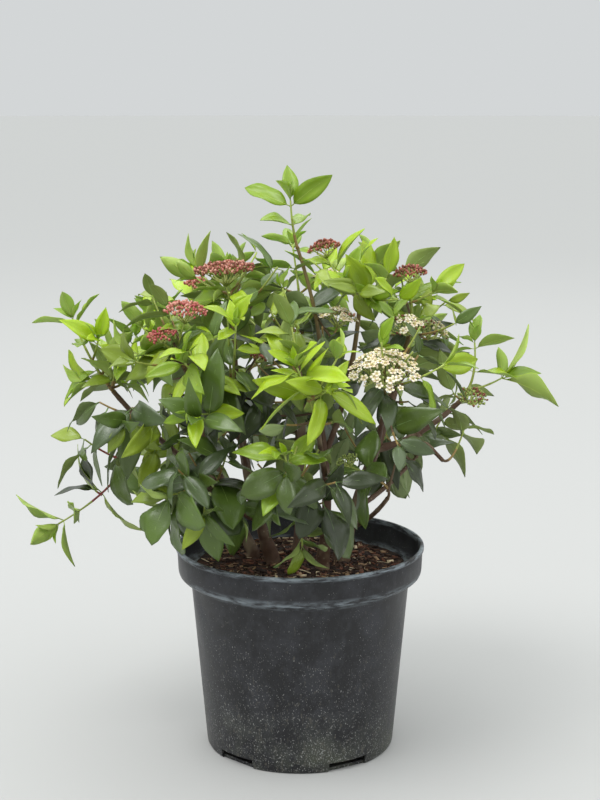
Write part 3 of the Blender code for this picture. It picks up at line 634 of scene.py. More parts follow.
@dataclass(frozen=True)
class PotFinish(Finish):
    """Black injection-moulded polypropylene that has stood in a nursery bed.

    The eye sees a satin charcoal wall with splashed grit that thickens downwards, a dusty
    bloom, pale scraped lip and band edges that also carry a painted highlight, and a green film
    near the foot.
    """

    haze: str = "#34353a"
    dust: str = "#a6a7a4"
    silt: str = "#5a574e"
    # Pale bluish grey of the scraped edges, which also stands for their painted highlight
    scrape_and_highlight: str = "#8a949b"
    algae: str = "#454938"
    lip_mm: float = 158.0
    band_foot_mm: float = 134.0
    cloud_mm: float = 26.0
    run_mm: float = 6.0
    scratch_mm: float = 13.0
    silt_mm: float = 2.4
    grit_mm: float = 0.85
    moulding_mm: float = 1.1
    run_tall: float = 1.6
    scratch_tall: float = 0.2
    silt_tall: float = 2.2
    grit_tall: float = 1.5
    edge_mm: float = 4.5
    band_mm: float = 7.0
    crowding_share: float = 0.16
    hazy_roughness: float = 0.62

    # Each ramp's foot and top, and what shows at its top and its foot; then the relief
    HAZE = (0.44, 0.68, 0.85)
    RUNS = (0.5, 0.72, 0.5)
    ALGAE = (52 * MM, 0.0)
    SCRATCHES = (0.42, 0.6)
    CROWDING = (135 * MM, 10 * MM, 0.08, -0.02)
    SILT = (0.72, 0.84, 0.55)
    GRIT = (0.76, 0.85, 0.75)
    RELIEF = (0.12, 0.5)

    def paint(self, shader: bpy.types.Node) -> None:
        """Lay haze, algae, pale scrapes with a painted edge highlight, silt and grit over the
        black wall, and roughen them.

        Args:
            shader: The material's shader.
        """
        weave = Weave(shader.id_data)
        height = weave.height
        clouds = weave.noise(self.cloud_mm, 5.0)
        cloudy = weave.share(clouds, *self.HAZE)
        runs = weave.share(weave.noise(self.run_mm, 4.0, tall=self.run_tall), *self.RUNS)
        colour = weave.over(self.colour, self.haze, cloudy)
        colour = weave.over(colour, self.haze, runs)
        low = weave.share(height, *self.ALGAE)
        colour = weave.over(colour, self.algae, weave.sum("MULTIPLY", low, cloudy))
        scratches = weave.noise(self.scratch_mm, 6.0, tall=self.scratch_tall)
        scratches = weave.share(scratches, *self.SCRATCHES)
        top, foot = self.lip_mm * MM, self.band_foot_mm * MM
        # The pale band along the lip and along the band's foot is partly scraped wear and partly a
        # painted highlight where these edges catch the light
        lip = weave.share(height, top - self.edge_mm * MM, top - MM)
        edge = weave.sum(
            "MULTIPLY", weave.share(height, foot - self.edge_mm * MM, foot),
            weave.share(height, foot + self.band_mm * MM, foot + MM),
        )
        worn_and_highlit = weave.sum("MULTIPLY", weave.sum("MAXIMUM", lip, edge), scratches)
        colour = weave.over(colour, self.scrape_and_highlight, worn_and_highlit)
        crowding = weave.share(height, *self.CROWDING)
        crowding = weave.sum("MULTIPLY_ADD", clouds, self.crowding_share, crowding)
        silt = weave.noise(self.silt_mm, 3.0, tall=self.silt_tall)
        silt = weave.sum("ADD", silt, crowding)
        colour = weave.over(colour, self.silt, weave.share(silt, *self.SILT))
        grit = weave.noise(self.grit_mm, 1.5, tall=self.grit_tall)
        grit = weave.sum("ADD", grit, crowding)
        specks = weave.share(grit, *self.GRIT)
        colour = weave.over(colour, self.dust, specks)
        rough = weave.share(cloudy, 0.0, 1.0, foot=self.roughness, top=self.hazy_roughness)
        weave.tree.links.new(rough, shader.inputs["Roughness"])
        relief = weave.sum("MULTIPLY_ADD", specks, 2.0, weave.noise(self.moulding_mm, 2.0))
        weave.finish(shader, colour, relief, *self.RELIEF)


@dataclass(frozen=True)
class CompostFinish(Finish):
    """Moist shredded bark seen between its flakes: nearly black with rusty crumbs."""

    rust: str = "#4b3020"
    crumb_mm: float = 2.6

    # The ramp's foot and top; then the relief's depth and strength
    CRUMBS = (0.45, 0.7)
    RELIEF = (1.2, 1.0)

    def paint(self, shader: bpy.types.Node) -> None:
        """Mix dark and rusty crumbs and give them their relief.

        Args:
            shader: The material's shader.
        """
        weave = Weave(shader.id_data)
        crumbs = weave.noise(self.crumb_mm, 5.0)
        colour = weave.over(self.colour, self.rust, weave.share(crumbs, *self.CRUMBS))
        weave.finish(shader, colour, crumbs, *self.RELIEF)


BARK = BarkFinish("laurustinus_bark", "#46342a", 0.62)
POLYPROPYLENE = PotFinish("pot_polypropylene_moulded", "#131317", 0.40, ior=1.49)
COMPOST = CompostFinish("compost_shredded_bark", "#1d110b", 0.9)


@dataclass(frozen=True)
class Pattern:
    """A small triangulated mesh kept as arrays, to be copied many times."""

    places: np.ndarray
    faces: np.ndarray
    slots: np.ndarray

    @staticmethod
    def from_shape(shape: Shape) -> "Pattern":
        """Keep a bmesh as arrays and free it.

        Args:
            shape: The bmesh.

        Returns:
            Its pattern.
        """
        bmesh.ops.triangulate(shape, faces=shape.faces[:])
        shape.verts.index_update()
        places = np.array([corner.co[:] for corner in shape.verts])
        faces = np.array([[corner.index for corner in face.verts] for face in shape.faces])
        slots = np.array([face.material_index for face in shape.faces])
        shape.free()
        return Pattern(places, faces, slots)

    def placed(self, base: Vector, side: Vector, along: Vector, face: Vector,
               size: float) -> np.ndarray:
        """The pattern's places turned to three axes, scaled and moved.

        Args:
            base: Where the pattern's origin goes.
            side: The direction of its X axis.
            along: The direction of its Y axis.
            face: The direction of its Z axis.
            size: Its scale.

        Returns:
            The places, one row each.
        """
        axes = np.array([side[:], along[:], face[:]])
        return np.array(base[:]) + size * (self.places @ axes)


@dataclass
class JoinedPiece:
    """Many copies of small patterns gathered into one mesh with several finishes."""

    name: str
    finishes: Sequence[Finish]
    places: list = field(default_factory=list)
    faces: list = field(default_factory=list)
    slots: list = field(default_factory=list)
    count: int = 0

    def add(self, places: np.ndarray, pattern: Pattern, finishes: Sequence[Finish]) -> None:
        """Add one copy of a pattern.

        Args:
            places: The copy's places.
            pattern: The pattern that the places come from.
            finishes: The finish for each of the pattern's own slots.
        """
        numbers = np.array([self.finishes.index(finish) for finish in finishes])
        self.places.append(places)
        self.faces.append(pattern.faces + self.count)
        self.slots.append(numbers[pattern.slots])
        self.count += len(places)

    def build(self, slot: str, nodes: Sequence[str]) -> bpy.types.Object:
        """Make the object, dress it and let it stand for CAD nodes.

        Args:
            slot: The record's material slot, which is not used.
            nodes: The CAD nodes that it replaces.

        Returns:
            The finished piece.
        """
        mesh = bpy.data.meshes.new(self.name)
        mesh.from_pydata(np.concatenate(self.places).tolist(), [],
                         np.concatenate(self.faces).tolist())
        for finish in self.finishes:
            mesh.materials.append(finish.material())
        mesh.polygons.foreach_set("material_index", np.concatenate(self.slots))
        mesh.shade_smooth()
        mesh.update()
        return handed_over(in_scene(self.name, mesh), nodes)


def in_scene(name: str, data: bpy.types.ID) -> bpy.types.Object:
    """A new object that shows this mesh, lamp or camera in the scene.

    Args:
        name: The object's name.
        data: What it shows.

    Returns:
        The object.
    """
    item = bpy.data.objects.new(name, data)
    bpy.context.scene.collection.objects.link(item)
    return item


def object_of(name: str, shape: Shape, *finishes: Finish) -> bpy.types.Object:
    """Turn a bmesh into an object in the scene, and free it.

    Args:
        name: The name of the object and of its mesh.
        shape: The bmesh.
        finishes: The finishes of its slots.

    Returns:
        The object.
    """
    mesh = bpy.data.meshes.new(name)
    shape.to_mesh(mesh)
    shape.free()
    for finish in finishes:
        mesh.materials.append(finish.material())
    return in_scene(name, mesh)


def handed_over(item: bpy.types.Object, nodes: Sequence[str]) -> bpy.types.Object:
    """Let a finished piece ride on the plant and replace its nodes.

    Args:
        item: The piece.
        nodes: The CAD nodes that it replaces.

    Returns:
        The same piece.
    """
    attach(item, BODY)
    if nodes:
        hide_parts(*nodes)
    LOG.info("%s: %d faces", item.name, len(item.data.polygons))
    return item


def tube_shape(sides: int, rings: int) -> Shape:
    """A closed unit tube along Z, cut into rings of even spacing.

    Args:
        sides: How many sides it has.
        rings: How many rings it has, with its ends.

    Returns:
        The tube.
    """
    shape = bmesh.new()
    bmesh.ops.create_cone(
        shape, cap_ends=True, segments=sides, radius1=1.0, radius2=1.0, depth=1.0,
        matrix=Matrix.Translation((0.0, 0.0, 0.5)),
    )
    upright = [
        edge for edge in shape.edges if abs(edge.verts[0].co.z - edge.verts[1].co.z) > 0.5
    ]
    bmesh.ops.subdivide_edges(shape, edges=upright, cuts=rings - 2, use_grid_fill=False)
    return shape


def swept_places(pattern: Pattern, points: np.ndarray, radii: np.ndarray) -> np.ndarray:
    """Bend a unit tube along a line of points, with one ring at each.

    Args:
        pattern: A tube's pattern with as many rings as there are points.
        points: The line's points, one row each.
        radii: The tube's radius at each point.

    Returns:
        The tube's places.
    """
    steps = np.gradient(points, axis=0)
    steps /= np.linalg.norm(steps, axis=1)[:, None]
    side = np.cross(steps[0], RING_START)
    sides = []
    for step in steps:
        side = side - side.dot(step) * step
        side = side / np.linalg.norm(side)
        sides.append(side)
    sides = np.array(sides)
    others = np.cross(steps, sides)
    ring = np.rint(pattern.places[:, 2] * (len(points) - 1)).astype(int)
    flat_x = pattern.places[:, 0:1] * radii[ring, None]
    flat_y = pattern.places[:, 1:2] * radii[ring, None]
    return points[ring] + flat_x * sides[ring] + flat_y * others[ring]


def bent_line(start: Vector, control: Vector, end: Vector, count: int) -> np.ndarray:
    """Points along a quadratic curve, one row each.

    Args:
        start: Where it starts.
        control: What it bends towards.
        end: Where it ends.
        count: How many points it has.

    Returns:
        The points.
    """
    share = np.linspace(0.0, 1.0, count)[:, None]
    rest = 1.0 - share
    first, middle, last = (np.array(place[:]) for place in (start, control, end))
    return rest * rest * first + 2.0 * rest * share * middle + share * share * last


@dataclass(frozen=True)
class GrowthRule:
    """The sizes and strays of the seeded rule by which limbs, twigs and leaves grow."""

    gap: float = 0.3 * MM
    clear: float = 0.6 * MM
    pot_height: float = 158 * MM
    rim_radius: float = 95 * MM
    base_radius: float = 72.5 * MM
    pot_steps: int = 36
    soil_level: float = 158 * MM - 16 * MM
    stem_sides: int = 8
    stem_rings: int = 6
    bough_sides: int = 6
    bough_rings: int = 5
    collar_height: float = 3 * MM
    flare: float = 1.45
    flare_reach: float = 14 * MM
    twig_sides: int = 3
    stem_radius: float = 1.7 * MM
    stem_share: float = 0.9
    twig_radius: float = 1.2 * MM
    tip_radius: float = 0.9 * MM
    twig_sag: float = 0.10
    short_twig: float = 34 * MM
    long_twig: float = 62 * MM
    leaf_opening: tuple = (32, 58, 76, 88, 96)
    leaf_scale: tuple = (0.78, 1.0, 1.06, 1.1, 1.1)
    leaf_thickness: float = 0.022
    leaf_breadth: float = 0.58
    leaf_narrowing: float = 0.3
    leaf_belly: float = 0.9
    leaf_broadest: float = 0.4
    leaf_sides: int = 6
    head_sides: int = 8
    leaf_free_share: float = 0.78
    root_depth: float = 0.25 * MM
    head_stalk: float = 16 * MM
    head_depth: float = 0.50
    head_crown: float = 0.42
    head_upright: float = 0.6
    head_shrink: float = 0.9
    curve_lead: float = 0.4
    leaf_attempts: int = 5
    swing_step: float = 0.25
    lift_step: float = 0.3
    size_step: float = 0.07
    spin_stray: float = 12
    opening_stray: float = 9
    spacing_stray: float = 0.15
    size_stray: float = 0.11
    bare_foot: float = 0.85
    fork_places: int = 15
    fork_reach: int = 18
    fork_bend: float = 1.9
    crown_middle: tuple = (2, 4, 268)
    crown_half: tuple = (158, 150, 118)
    lowest_tip: float = 172 * MM
    skirt_start: float = 30 * MM
    skirt_rise: float = 1.0
    tip_depth: float = 7 * MM
    tip_tries: int = 24
    shoot_tries: int = 3
    space_reach: float = 65 * MM
    outer_share: float = 0.8
    young_height: float = 0.1
    upright: float = 0.2
    point_turn: float = 1.4
    pair_choice: tuple = (2, 3, 3)
    middle_share: float = 0.62
    young_leaf: tuple = (33, 41)
    grown_leaf: tuple = (38, 46)
    old_leaf: tuple = (44, 54)


RULE = GrowthRule()


def curve_points(start: Vector, control: Vector, end: Vector, count: int) -> list:
    """Points along a quadratic curve, evenly spaced in its parameter.

    Args:
        start: Where it starts.
        control: What it bends towards.
        end: Where it ends.
        count: How many points it has.

    Returns:
        The points.
    """
    points = []
    for index in range(count):
        share = index / (count - 1)
        rest = 1.0 - share
        points.append(rest * rest * start + 2 * rest * share * control + share * share * end)
    return points


def tangents(points: Sequence[Vector]) -> list:
    """The direction of a line of points at each of them.

    Args:
        points: The line.

    Returns:
        A direction for each.
    """
    last = len(points) - 1
    return [
        (points[min(index + 1, last)] - points[max(index - 1, 0)]).normalized()
        for index in range(len(points))
    ]


def swept_shape(points: Sequence[Vector], radii: Sequence[float], sides: int,
                directions: Optional[Sequence[Vector]] = None) -> Shape:
    """A closed tapering tube: a ring carried along a line of points.

    Args:
        points: The middle of each ring.
        radii: The radius of each ring.
        sides: How many sides the tube has.
        directions: The direction of the tube at each ring, or none to follow the points.

    Returns:
        The tube.
    """
    directions = directions or tangents(points)
    shape = bmesh.new()
    bmesh.ops.create_circle(shape, cap_ends=True, segments=sides, radius=1.0)
    shape.faces.ensure_lookup_table()
    cap = shape.faces[0]
    turn = UP.rotation_difference(directions[0])
    for corner in cap.verts:
        corner.co = points[0] + turn @ (corner.co * radii[0])
    for index in range(1, len(points)):
        grown = bmesh.ops.extrude_face_region(shape, geom=[cap])["geom"]
        if index > 1:
            bmesh.ops.delete(shape, geom=[cap], context="FACES_ONLY")
        cap = next(part for part in grown if isinstance(part, bmesh.types.BMFace))
        swing = directions[index - 1].rotation_difference(directions[index])
        growth = radii[index] / radii[index - 1]
        for corner in cap.verts:
            offset = (corner.co - points[index - 1]) * growth
            corner.co = points[index] + swing @ offset
    bmesh.ops.recalc_face_normals(shape, faces=shape.faces)
    if shape.calc_volume(signed=True) < 0.0:
        bmesh.ops.reverse_faces(shape, faces=shape.faces)
    return shape


def tapered(first: float, last: float, count: int) -> list:
    """Radii that run evenly from the first to the last."""
    return [first + (last - first) * index / (count - 1) for index in range(count)]


@dataclass
class Limb:
    """A stem or bough: the solid's coarse rings, the curve they follow and their directions."""

    name: str
    points: list
    radii: list
    sides: int
    curve: tuple

    def __post_init__(self) -> None:
        """Take the directions from the points."""
        self.directions = tangents(self.points)

    def at_share(self, share: float) -> tuple:
        """Middle, direction and radius at a share of the way along.

        Args:
            share: The share from 0 to 1.

        Returns:
            The middle, the direction and the radius.
        """
        along = share * (len(self.points) - 1)
        index = min(int(along), len(self.points) - 2)
        part = along - index
        middle = self.points[index].lerp(self.points[index + 1], part)
        direction = self.directions[index].lerp(self.directions[index + 1], part).normalized()
        radius = self.radii[index] + part * (self.radii[index + 1] - self.radii[index])
        return middle, direction, radius


def grow_stem(row: Stem) -> Limb:
    """A stem from its flat cut at the compost: a level collar, a flare and a lean.

    Args:
        row: The stem's sizes.

    Returns:
        The stem.
    """
    foot = Vector((row.foot[0] * MM, row.foot[1] * MM, RULE.soil_level + RULE.gap))
    collar = foot + RULE.collar_height * UP
    tip = at(row.tip)
    control = collar.lerp(tip, 0.5) + at(row.bow)
    points = [foot] + curve_points(collar, control, tip, RULE.stem_rings)
    radii = [row.foot_radius * MM] + [
        radius * MM for radius in tapered(row.foot_radius, row.tip_radius, RULE.stem_rings)
    ]
    for index, point in enumerate(points):
        nearness = max(0.0, 1.0 - (point.z - foot.z) / RULE.flare_reach)
        radii[index] *= 1.0 + (RULE.flare - 1.0) * nearness
    limb = Limb(row.name, points, radii, RULE.stem_sides, (foot, collar, control, tip))
    limb.directions[0] = UP.copy()
    return limb


def grow_bough(row: Bough, limbs: dict) -> Limb:
    """A bough that starts a gap clear of its parent limb and tapers to its tip.

    Args:
        row: The bough's sizes.
        limbs: The limbs so far, by name.

    Returns:
        The bough.
    """
    middle, direction, radius = limbs[row.parent].at_share(row.share)
    tip = at(row.tip)
    control = middle.lerp(tip, 0.5) + at(row.bow)
    foot_radius = row.foot_radius * MM
    heading = (control - middle).normalized()
    if row.share == 1.0:
        foot_radius = min(foot_radius, radius)
        heading = direction
        away = RULE.gap
        control = middle + direction * (tip - middle).length * RULE.curve_lead
    else:
        slant = math.sqrt(1.0 - heading.dot(direction) ** 2)
        away = (radius + RULE.gap + foot_radius * abs(heading.dot(direction))) / slant
    start = middle + heading * away
    points = curve_points(start, control, tip, RULE.bough_rings)
    radii = tapered(foot_radius, row.tip_radius * MM, RULE.bough_rings)
    limb = Limb(row.name, points, radii, RULE.bough_sides, (middle, start, control, tip))
    limb.directions[0] = heading
    return limb


def grow_limbs() -> dict:
    """Every stem and bough, by name.

    Returns:
        The limbs.
    """
    limbs = {}
    for row in STEMS:
        limbs[row.name] = grow_stem(row)
    for row in BOUGHS:
        limbs[row.name] = grow_bough(row, limbs)
    return limbs


def keep_out_shapes(limbs: dict) -> dict:
    """Search trees of what no twig or leaf may touch: limbs, pot wall and compost.

    Args:
        limbs: The limbs by name.

    Returns:
        The trees by name.
    """
    trees = {}
    for limb in limbs.values():
        radii = [radius + RULE.clear for radius in limb.radii]
        shape = swept_shape(limb.points, radii, limb.sides, limb.directions)
        trees[limb.name] = BVHTree.FromBMesh(shape)
        shape.free()
    pot = bmesh.new()
    bmesh.ops.create_cone(
        pot, cap_ends=True, segments=RULE.pot_steps, depth=RULE.pot_height + 2 * RULE.clear,
        radius1=RULE.base_radius + RULE.clear, radius2=RULE.rim_radius + 2 * RULE.clear,
    )
    bmesh.ops.translate(pot, verts=pot.verts, vec=(0.0, 0.0, 0.5 * RULE.pot_height))
    trees["pot"] = BVHTree.FromBMesh(pot)
    pot.free()
    return trees


@dataclass
class Space:
    """The room of one foliage mass: all that lies nearer its centre than any other's."""

    row: Mass

    def __post_init__(self) -> None:
        """Find the walls between this mass's centre and every other's."""
        self.centre = at(self.row.centre)
        self.walls = []
        for other in MASSES:
            if other.name != self.row.name:
                away = at(other.centre) - self.centre
                self.walls.append((away.normalized(), 0.5 * away.length))

    def depth(self, point: Vector) -> float:
        """How far a point lies inside the nearest wall."""
        offset = point - self.centre
        return min(reach - offset.dot(normal) for normal, reach in self.walls)

    def holds(self, points: Sequence[Vector], spare: float = 0.5 * RULE.clear) -> bool:
        """Whether every point lies inside, a spare from the walls."""
        return all(self.depth(point) > spare for point in points)


def leaf_shape(base: Vector, heading: Vector, face: Vector, length: float,
               kind: Kind) -> Shape:
    """The solid's own thin arched leaf, which settles where a leaf finds room.

    Args:
        base: Where it grows from.
        heading: The way it points.
        face: The way its upper face looks.
        length: Its length.
        kind: Its age.

    Returns:
        The leaf.
    """
    side = heading.cross(face).normalized()
    shape = bmesh.new()
    bmesh.ops.create_uvsphere(shape, u_segments=RULE.leaf_sides, v_segments=2, radius=1.0)
    for corner in shape.verts:
        across, along, rise = corner.co
        along = 0.5 * (along + 1.0)
        narrowing = 1.0 - RULE.leaf_narrowing * (along - RULE.leaf_broadest)
        across *= RULE.leaf_breadth * kind.width * narrowing
        along = along ** RULE.leaf_belly
        height = rise * 0.5 * RULE.leaf_thickness
        height += kind.fold * abs(across) - kind.arch * along * along
        corner.co = base + length * (along * heading + across * side + height * face)
    return shape


def head_shape(top: Vector, direction: Vector, radius: float) -> Shape:
    """The solid's own flower head, a low dome on the cone of its rays.

    Args:
        top: Its middle.
        direction: The way it looks.
        radius: Its radius.

    Returns:
        The head.
    """
    side = direction.orthogonal().normalized()
    other = direction.cross(side)
    shape = bmesh.new()
    bmesh.ops.create_uvsphere(shape, u_segments=RULE.head_sides, v_segments=4, radius=1.0)
    for corner in shape.verts:
        flat_x, flat_y, rise = corner.co
        rise *= RULE.head_crown if rise > 0.0 else RULE.head_depth
        corner.co = top + radius * (flat_x * side + flat_y * other + rise * direction)
    return shape


@dataclass(frozen=True)
class FinerGrowth:
    """How far a mass grows on past the solids: finer twigs, and pairs down the coarse ones."""

    twigs: int = 5
    pairs: int = 2
    leaf_scale: float = 0.86
    older_share: float = 0.5
    point_scale: tuple = (0.36, 0.6)
    point_opening: tuple = (12, 26)
    least_leaf: float = 0.0
    facing: float = 0.0
    seed_step: int = 500


# What the leaves further down a twig are
OLDER = {"flush": YOUNG, "young": GROWN, "grown": OLD, "old": OLD}


@dataclass
class GrownTwig:
    """A twig as it grew: its curve, its radius at the foot and the shoot that it bears."""

    start: Vector
    control: Vector
    tip: Vector
    foot_radius: float
    points: list
    shoot: Optional[Shoot] = None
    hub: Optional[Vector] = None


@dataclass
class GrownLeaf:
    """A leaf as it grew: its base, its axes, its length and its age."""

    base: Vector
    heading: Vector
    face: Vector
    length: float
    age: Kind
    spray: int


@dataclass
class GrownHead:
    """A flower head as it grew: its middle, its direction and its radius."""

    top: Vector
    direction: Vector
    radius: float
    twig: GrownTwig


@dataclass
class Foliage:
    """One foliage mass: a stem, its twigs, their leaves and flower heads."""

    row: Mass
    limb: Limb
    keep_out: dict
    finer: FinerGrowth
    twigs: list = field(default_factory=list)
    leaves: list = field(default_factory=list)
    heads: list = field(default_factory=list)
    twig_trees: list = field(default_factory=list)
    leaf_trees: list = field(default_factory=list)
    tips: list = field(default_factory=list)
    spray: int = 0

    def __post_init__(self) -> None:
        """Find the mass's space and start its seeded draws."""
        self.space = Space(self.row)
        self.draw = random.Random(self.row.seed)

    def touches_limbs(self, tree: BVHTree) -> bool:
        """Whether a shape's tree meets a limb or the pot."""
        return any(tree.overlap(other) for other in self.keep_out.values())

    def add_twig(self, start: Vector, tip: Vector, foot_radius: float,
                 direction: Optional[Vector] = None) -> Optional[GrownTwig]:
        """A twig that leaves its start and turns up to its tip, or nothing.

        Args:
            start: Where it leaves from.
            tip: Where it ends.
            foot_radius: Its radius at the foot.
            direction: The way it leaves, or none for a free one.

        Returns:
            The twig, or nothing where there is no room.
        """
        span = tip - start
        if direction is None:
            control = start.lerp(tip, 0.5) - UP * RULE.twig_sag * span.length
            if not self.space.holds([control]):
                control = start.lerp(tip, 0.5)
        else:
            control = start + direction * RULE.curve_lead * span.length
        rings = 3 + int(span.length > RULE.short_twig) + int(span.length > RULE.long_twig)
        points = curve_points(start, control, tip, rings)
        directions = tangents(points)
        directions[0] = direction or directions[0]
        radii = tapered(foot_radius, RULE.tip_radius, len(points))
        shape = swept_shape(points, radii, RULE.twig_sides, directions)
        tree = BVHTree.FromBMesh(shape)
        fits = self.space.holds([corner.co for corner in shape.verts[RULE.twig_sides:]])
        shape.free()
        if direction is None and (self.touches_limbs(tree) or not fits):
            return None
        self.twig_trees.append(tree)
        twig = GrownTwig(start, control, tip, foot_radius, points)
        self.twigs.append(twig)
        return twig

    def add_leaf(self, base: Vector, heading: Vector, face: Vector, length: float,
                 kind: Kind) -> None:
        """A leaf in the first of a few attitudes that keeps clear, or nothing.

        Args:
            base: Where it grows from.
            heading: The way it points.
            face: The way its upper face looks.
            length: Its length at the first try.
            kind: Its age.
        """
        root_share = 1.0 - RULE.leaf_free_share
        for attempt in range(RULE.leaf_attempts):
            swing = self.draw.uniform(-RULE.swing_step, RULE.swing_step) * attempt
            lift = self.draw.uniform(-RULE.lift_step, RULE.lift_step) * attempt
            size = length * (1.0 - RULE.size_step * attempt)
            side = heading.cross(face).normalized()
            aim = (heading + swing * side + lift * face).normalized()
            flat = (face - face.dot(aim) * aim).normalized()
            shape = leaf_shape(base, aim, flat, size, kind)
            corners = [corner.co.copy() for corner in shape.verts]
            free = RULE.leaf_free_share * size
            outer = leaf_shape(base + root_share * size * aim, aim, flat, free, kind)
            outer_tree = BVHTree.FromBMesh(outer)
            outer.free()
            tree = BVHTree.FromBMesh(shape)
            shape.free()
            if (
                self.space.holds(corners)
                and not self.touches_limbs(tree)
                and not any(outer_tree.overlap(other) for other in self.twig_trees)
                and not any(outer_tree.overlap(other) for other in self.leaf_trees)
            ):
                self.leaves.append(GrownLeaf(base, aim, flat, size, kind, self.spray))
                self.leaf_trees.append(outer_tree)
                return

    def add_head(self, twig: GrownTwig, radius: float) -> None:
        """A flower head on a twig's tip, as broad as its space allows.

        Args:
            twig: The twig that bears it.
            radius: Its radius at the most.
        """
        points = twig.points
        direction = (points[-1] - points[-2]).normalized()
        direction = direction.lerp(UP, RULE.head_upright).normalized()
        shape = head_shape(points[-1], direction, radius)
        while not self.space.holds([corner.co for corner in shape.verts]):
            shape.free()
            radius *= RULE.head_shrink
            shape = head_shape(points[-1], direction, radius)
        self.leaf_trees.append(BVHTree.FromBMesh(shape))
        shape.free()
        self.heads.append(GrownHead(points[-1], direction, radius, twig))

    def dress(self, points: list, shoot: Shoot, first: int, last: int) -> None:
        """Opposite pairs of leaves down a shoot, each pair turned across the last.

        Args:
            points: The twig's line.
            shoot: The shoot that it bears.
            first: The first pair to add, counted from the tip.
            last: The pair to stop before.
        """
        lengths = [(second - start).length for start, second in zip(points, points[1:])]
        total = sum(lengths)
        first_node = RULE.head_stalk if shoot.head else 0.0
        self.spray += 1
        for pair in range(first, last):
            stray = self.draw.uniform(1.0 - RULE.spacing_stray, 1.0 + RULE.spacing_stray)
            back = first_node + shoot.age.spacing[pair] * MM * stray
            if back > RULE.bare_foot * total:
                break
            along = total - back
            index = 0
            while index < len(lengths) - 1 and along > lengths[index]:
                along -= lengths[index]
                index += 1
            node = points[index].lerp(points[index + 1], min(1.0, along / lengths[index]))
            axis = (points[index + 1] - points[index]).normalized()
            across = axis.cross(UP)
            if across.length < RULE.upright:
                across = axis.cross(Vector((0.0, 1.0, 0.0)))
            across.normalize()
            other = axis.cross(across)
            order = min(pair + (1 if shoot.head else 0), len(RULE.leaf_opening) - 1)
            spin = math.radians(
                shoot.turn + 90 * pair + self.draw.uniform(-RULE.spin_stray, RULE.spin_stray)
            )
            size = shoot.leaf * MM * RULE.leaf_scale[order]
            self.add_pair(node, (axis, across, other), spin, RULE.leaf_opening[order], size,
                          shoot.age)

    def add_pair(self, node: Vector, axes: tuple, spin: float, opening: float, size: float,
                 age: Kind) -> None:
        """Two opposite leaves at a node.

        Args:
            node: Their place on the twig.
            axes: The twig's direction there and two directions across it.
            spin: How far the pair is turned round the twig, in radians.
            opening: The leaves' angle to the twig, in degrees.
            size: Their length before its stray.
            age: Their kind.
        """
        axis, across, other = axes
        for half in range(2):
            angle = spin + math.pi * half
            stray = self.draw.uniform(-RULE.opening_stray, RULE.opening_stray)
            slant = math.radians(opening + stray)
            outward = math.cos(angle) * across + math.sin(angle) * other
            heading = math.cos(slant) * axis + math.sin(slant) * outward
            face = math.sin(slant) * axis - math.cos(slant) * outward
            heading = (heading - age.droop * UP).normalized()
            face = face.lerp(UP, age.light)
            face = (face - face.dot(heading) * heading).normalized()
            stray = self.draw.uniform(1.0 - RULE.size_stray, 1.0 + RULE.size_stray)
            root = node - RULE.root_depth * heading
            self.add_leaf(root, heading, face, size * stray, age)

    def seeded_shoot(self) -> Optional[Shoot]:
        """A shoot into the emptiest part of the space, or nothing where it is full.

        Returns:
            The shoot, if there is room for one.
        """
        middle = at(RULE.crown_middle)
        half = at(RULE.crown_half)
        best = None
        best_room = best_reach = best_height = 0.0
        for _ in range(RULE.tip_tries):
            reach = RULE.space_reach
            spread = Vector(self.draw.uniform(-reach, reach) for _ in range(3))
            tip = self.space.centre + spread
            offset = Vector((tip[axis] - middle[axis]) / half[axis] for axis in range(3))
            reach = offset.length
            lowest = RULE.lowest_tip + RULE.skirt_rise * max(0.0, tip.x - RULE.skirt_start)
            if (
                reach > 1.0
                or tip.z < lowest
                or self.space.depth(tip) < RULE.tip_depth
            ):
                continue
            room = min((tip - other).length for other in self.tips) * (0.5 + reach)
            if room > best_room:
                best, best_room, best_reach, best_height = tip, room, reach, offset.z
        if best is None:
            return None
        if best_reach > RULE.outer_share and best_height > RULE.young_height:
            kind, leaf = YOUNG, self.draw.uniform(*RULE.young_leaf)
        elif best_reach > RULE.middle_share:
            kind, leaf = GROWN, self.draw.uniform(*RULE.grown_leaf)
        else:
            kind, leaf = OLD, self.draw.uniform(*RULE.old_leaf)
        pairs = self.draw.choice(RULE.pair_choice)
        return Shoot(best / MM, leaf, pairs, self.draw.uniform(0, 90), kind, 0)

    def fork_for(self, stem_points: list, tip: Vector) -> Vector:
        """The place on the stem that a twig to this tip leaves from.

        Args:
            stem_points: The stem's line.
            tip: Where the twig ends.

        Returns:
            The place.
        """
        best = None
        best_cost = math.inf
        for index in range(1, RULE.fork_places + 1):
            along = index / RULE.fork_reach * (len(stem_points) - 1)
            low = int(along)
            place = stem_points[low].lerp(stem_points[low + 1], along - low)
            axis = (stem_points[low + 1] - stem_points[low]).normalized()
            span = tip - place
            cost = span.length * (RULE.fork_bend - span.normalized().dot(axis))
            if cost < best_cost:
                best = place
                best_cost = cost
        return best

    def seeded_twigs(self, fill: int) -> None:
        """Twigs to as many seeded shoots as the mass is to have.

        Args:
            fill: How many there are to be.
        """
        stem = self.twigs[0].points
        seeded = 0
        for _ in range(RULE.shoot_tries * fill):
            shoot = self.seeded_shoot()
            if shoot is None or seeded == fill:
                continue
            tip = at(shoot.tip)
            self.tips.append(tip)
            twig = self.add_twig(self.fork_for(stem, tip), tip, RULE.twig_radius)
            if twig:
                twig.shoot = shoot
                seeded += 1

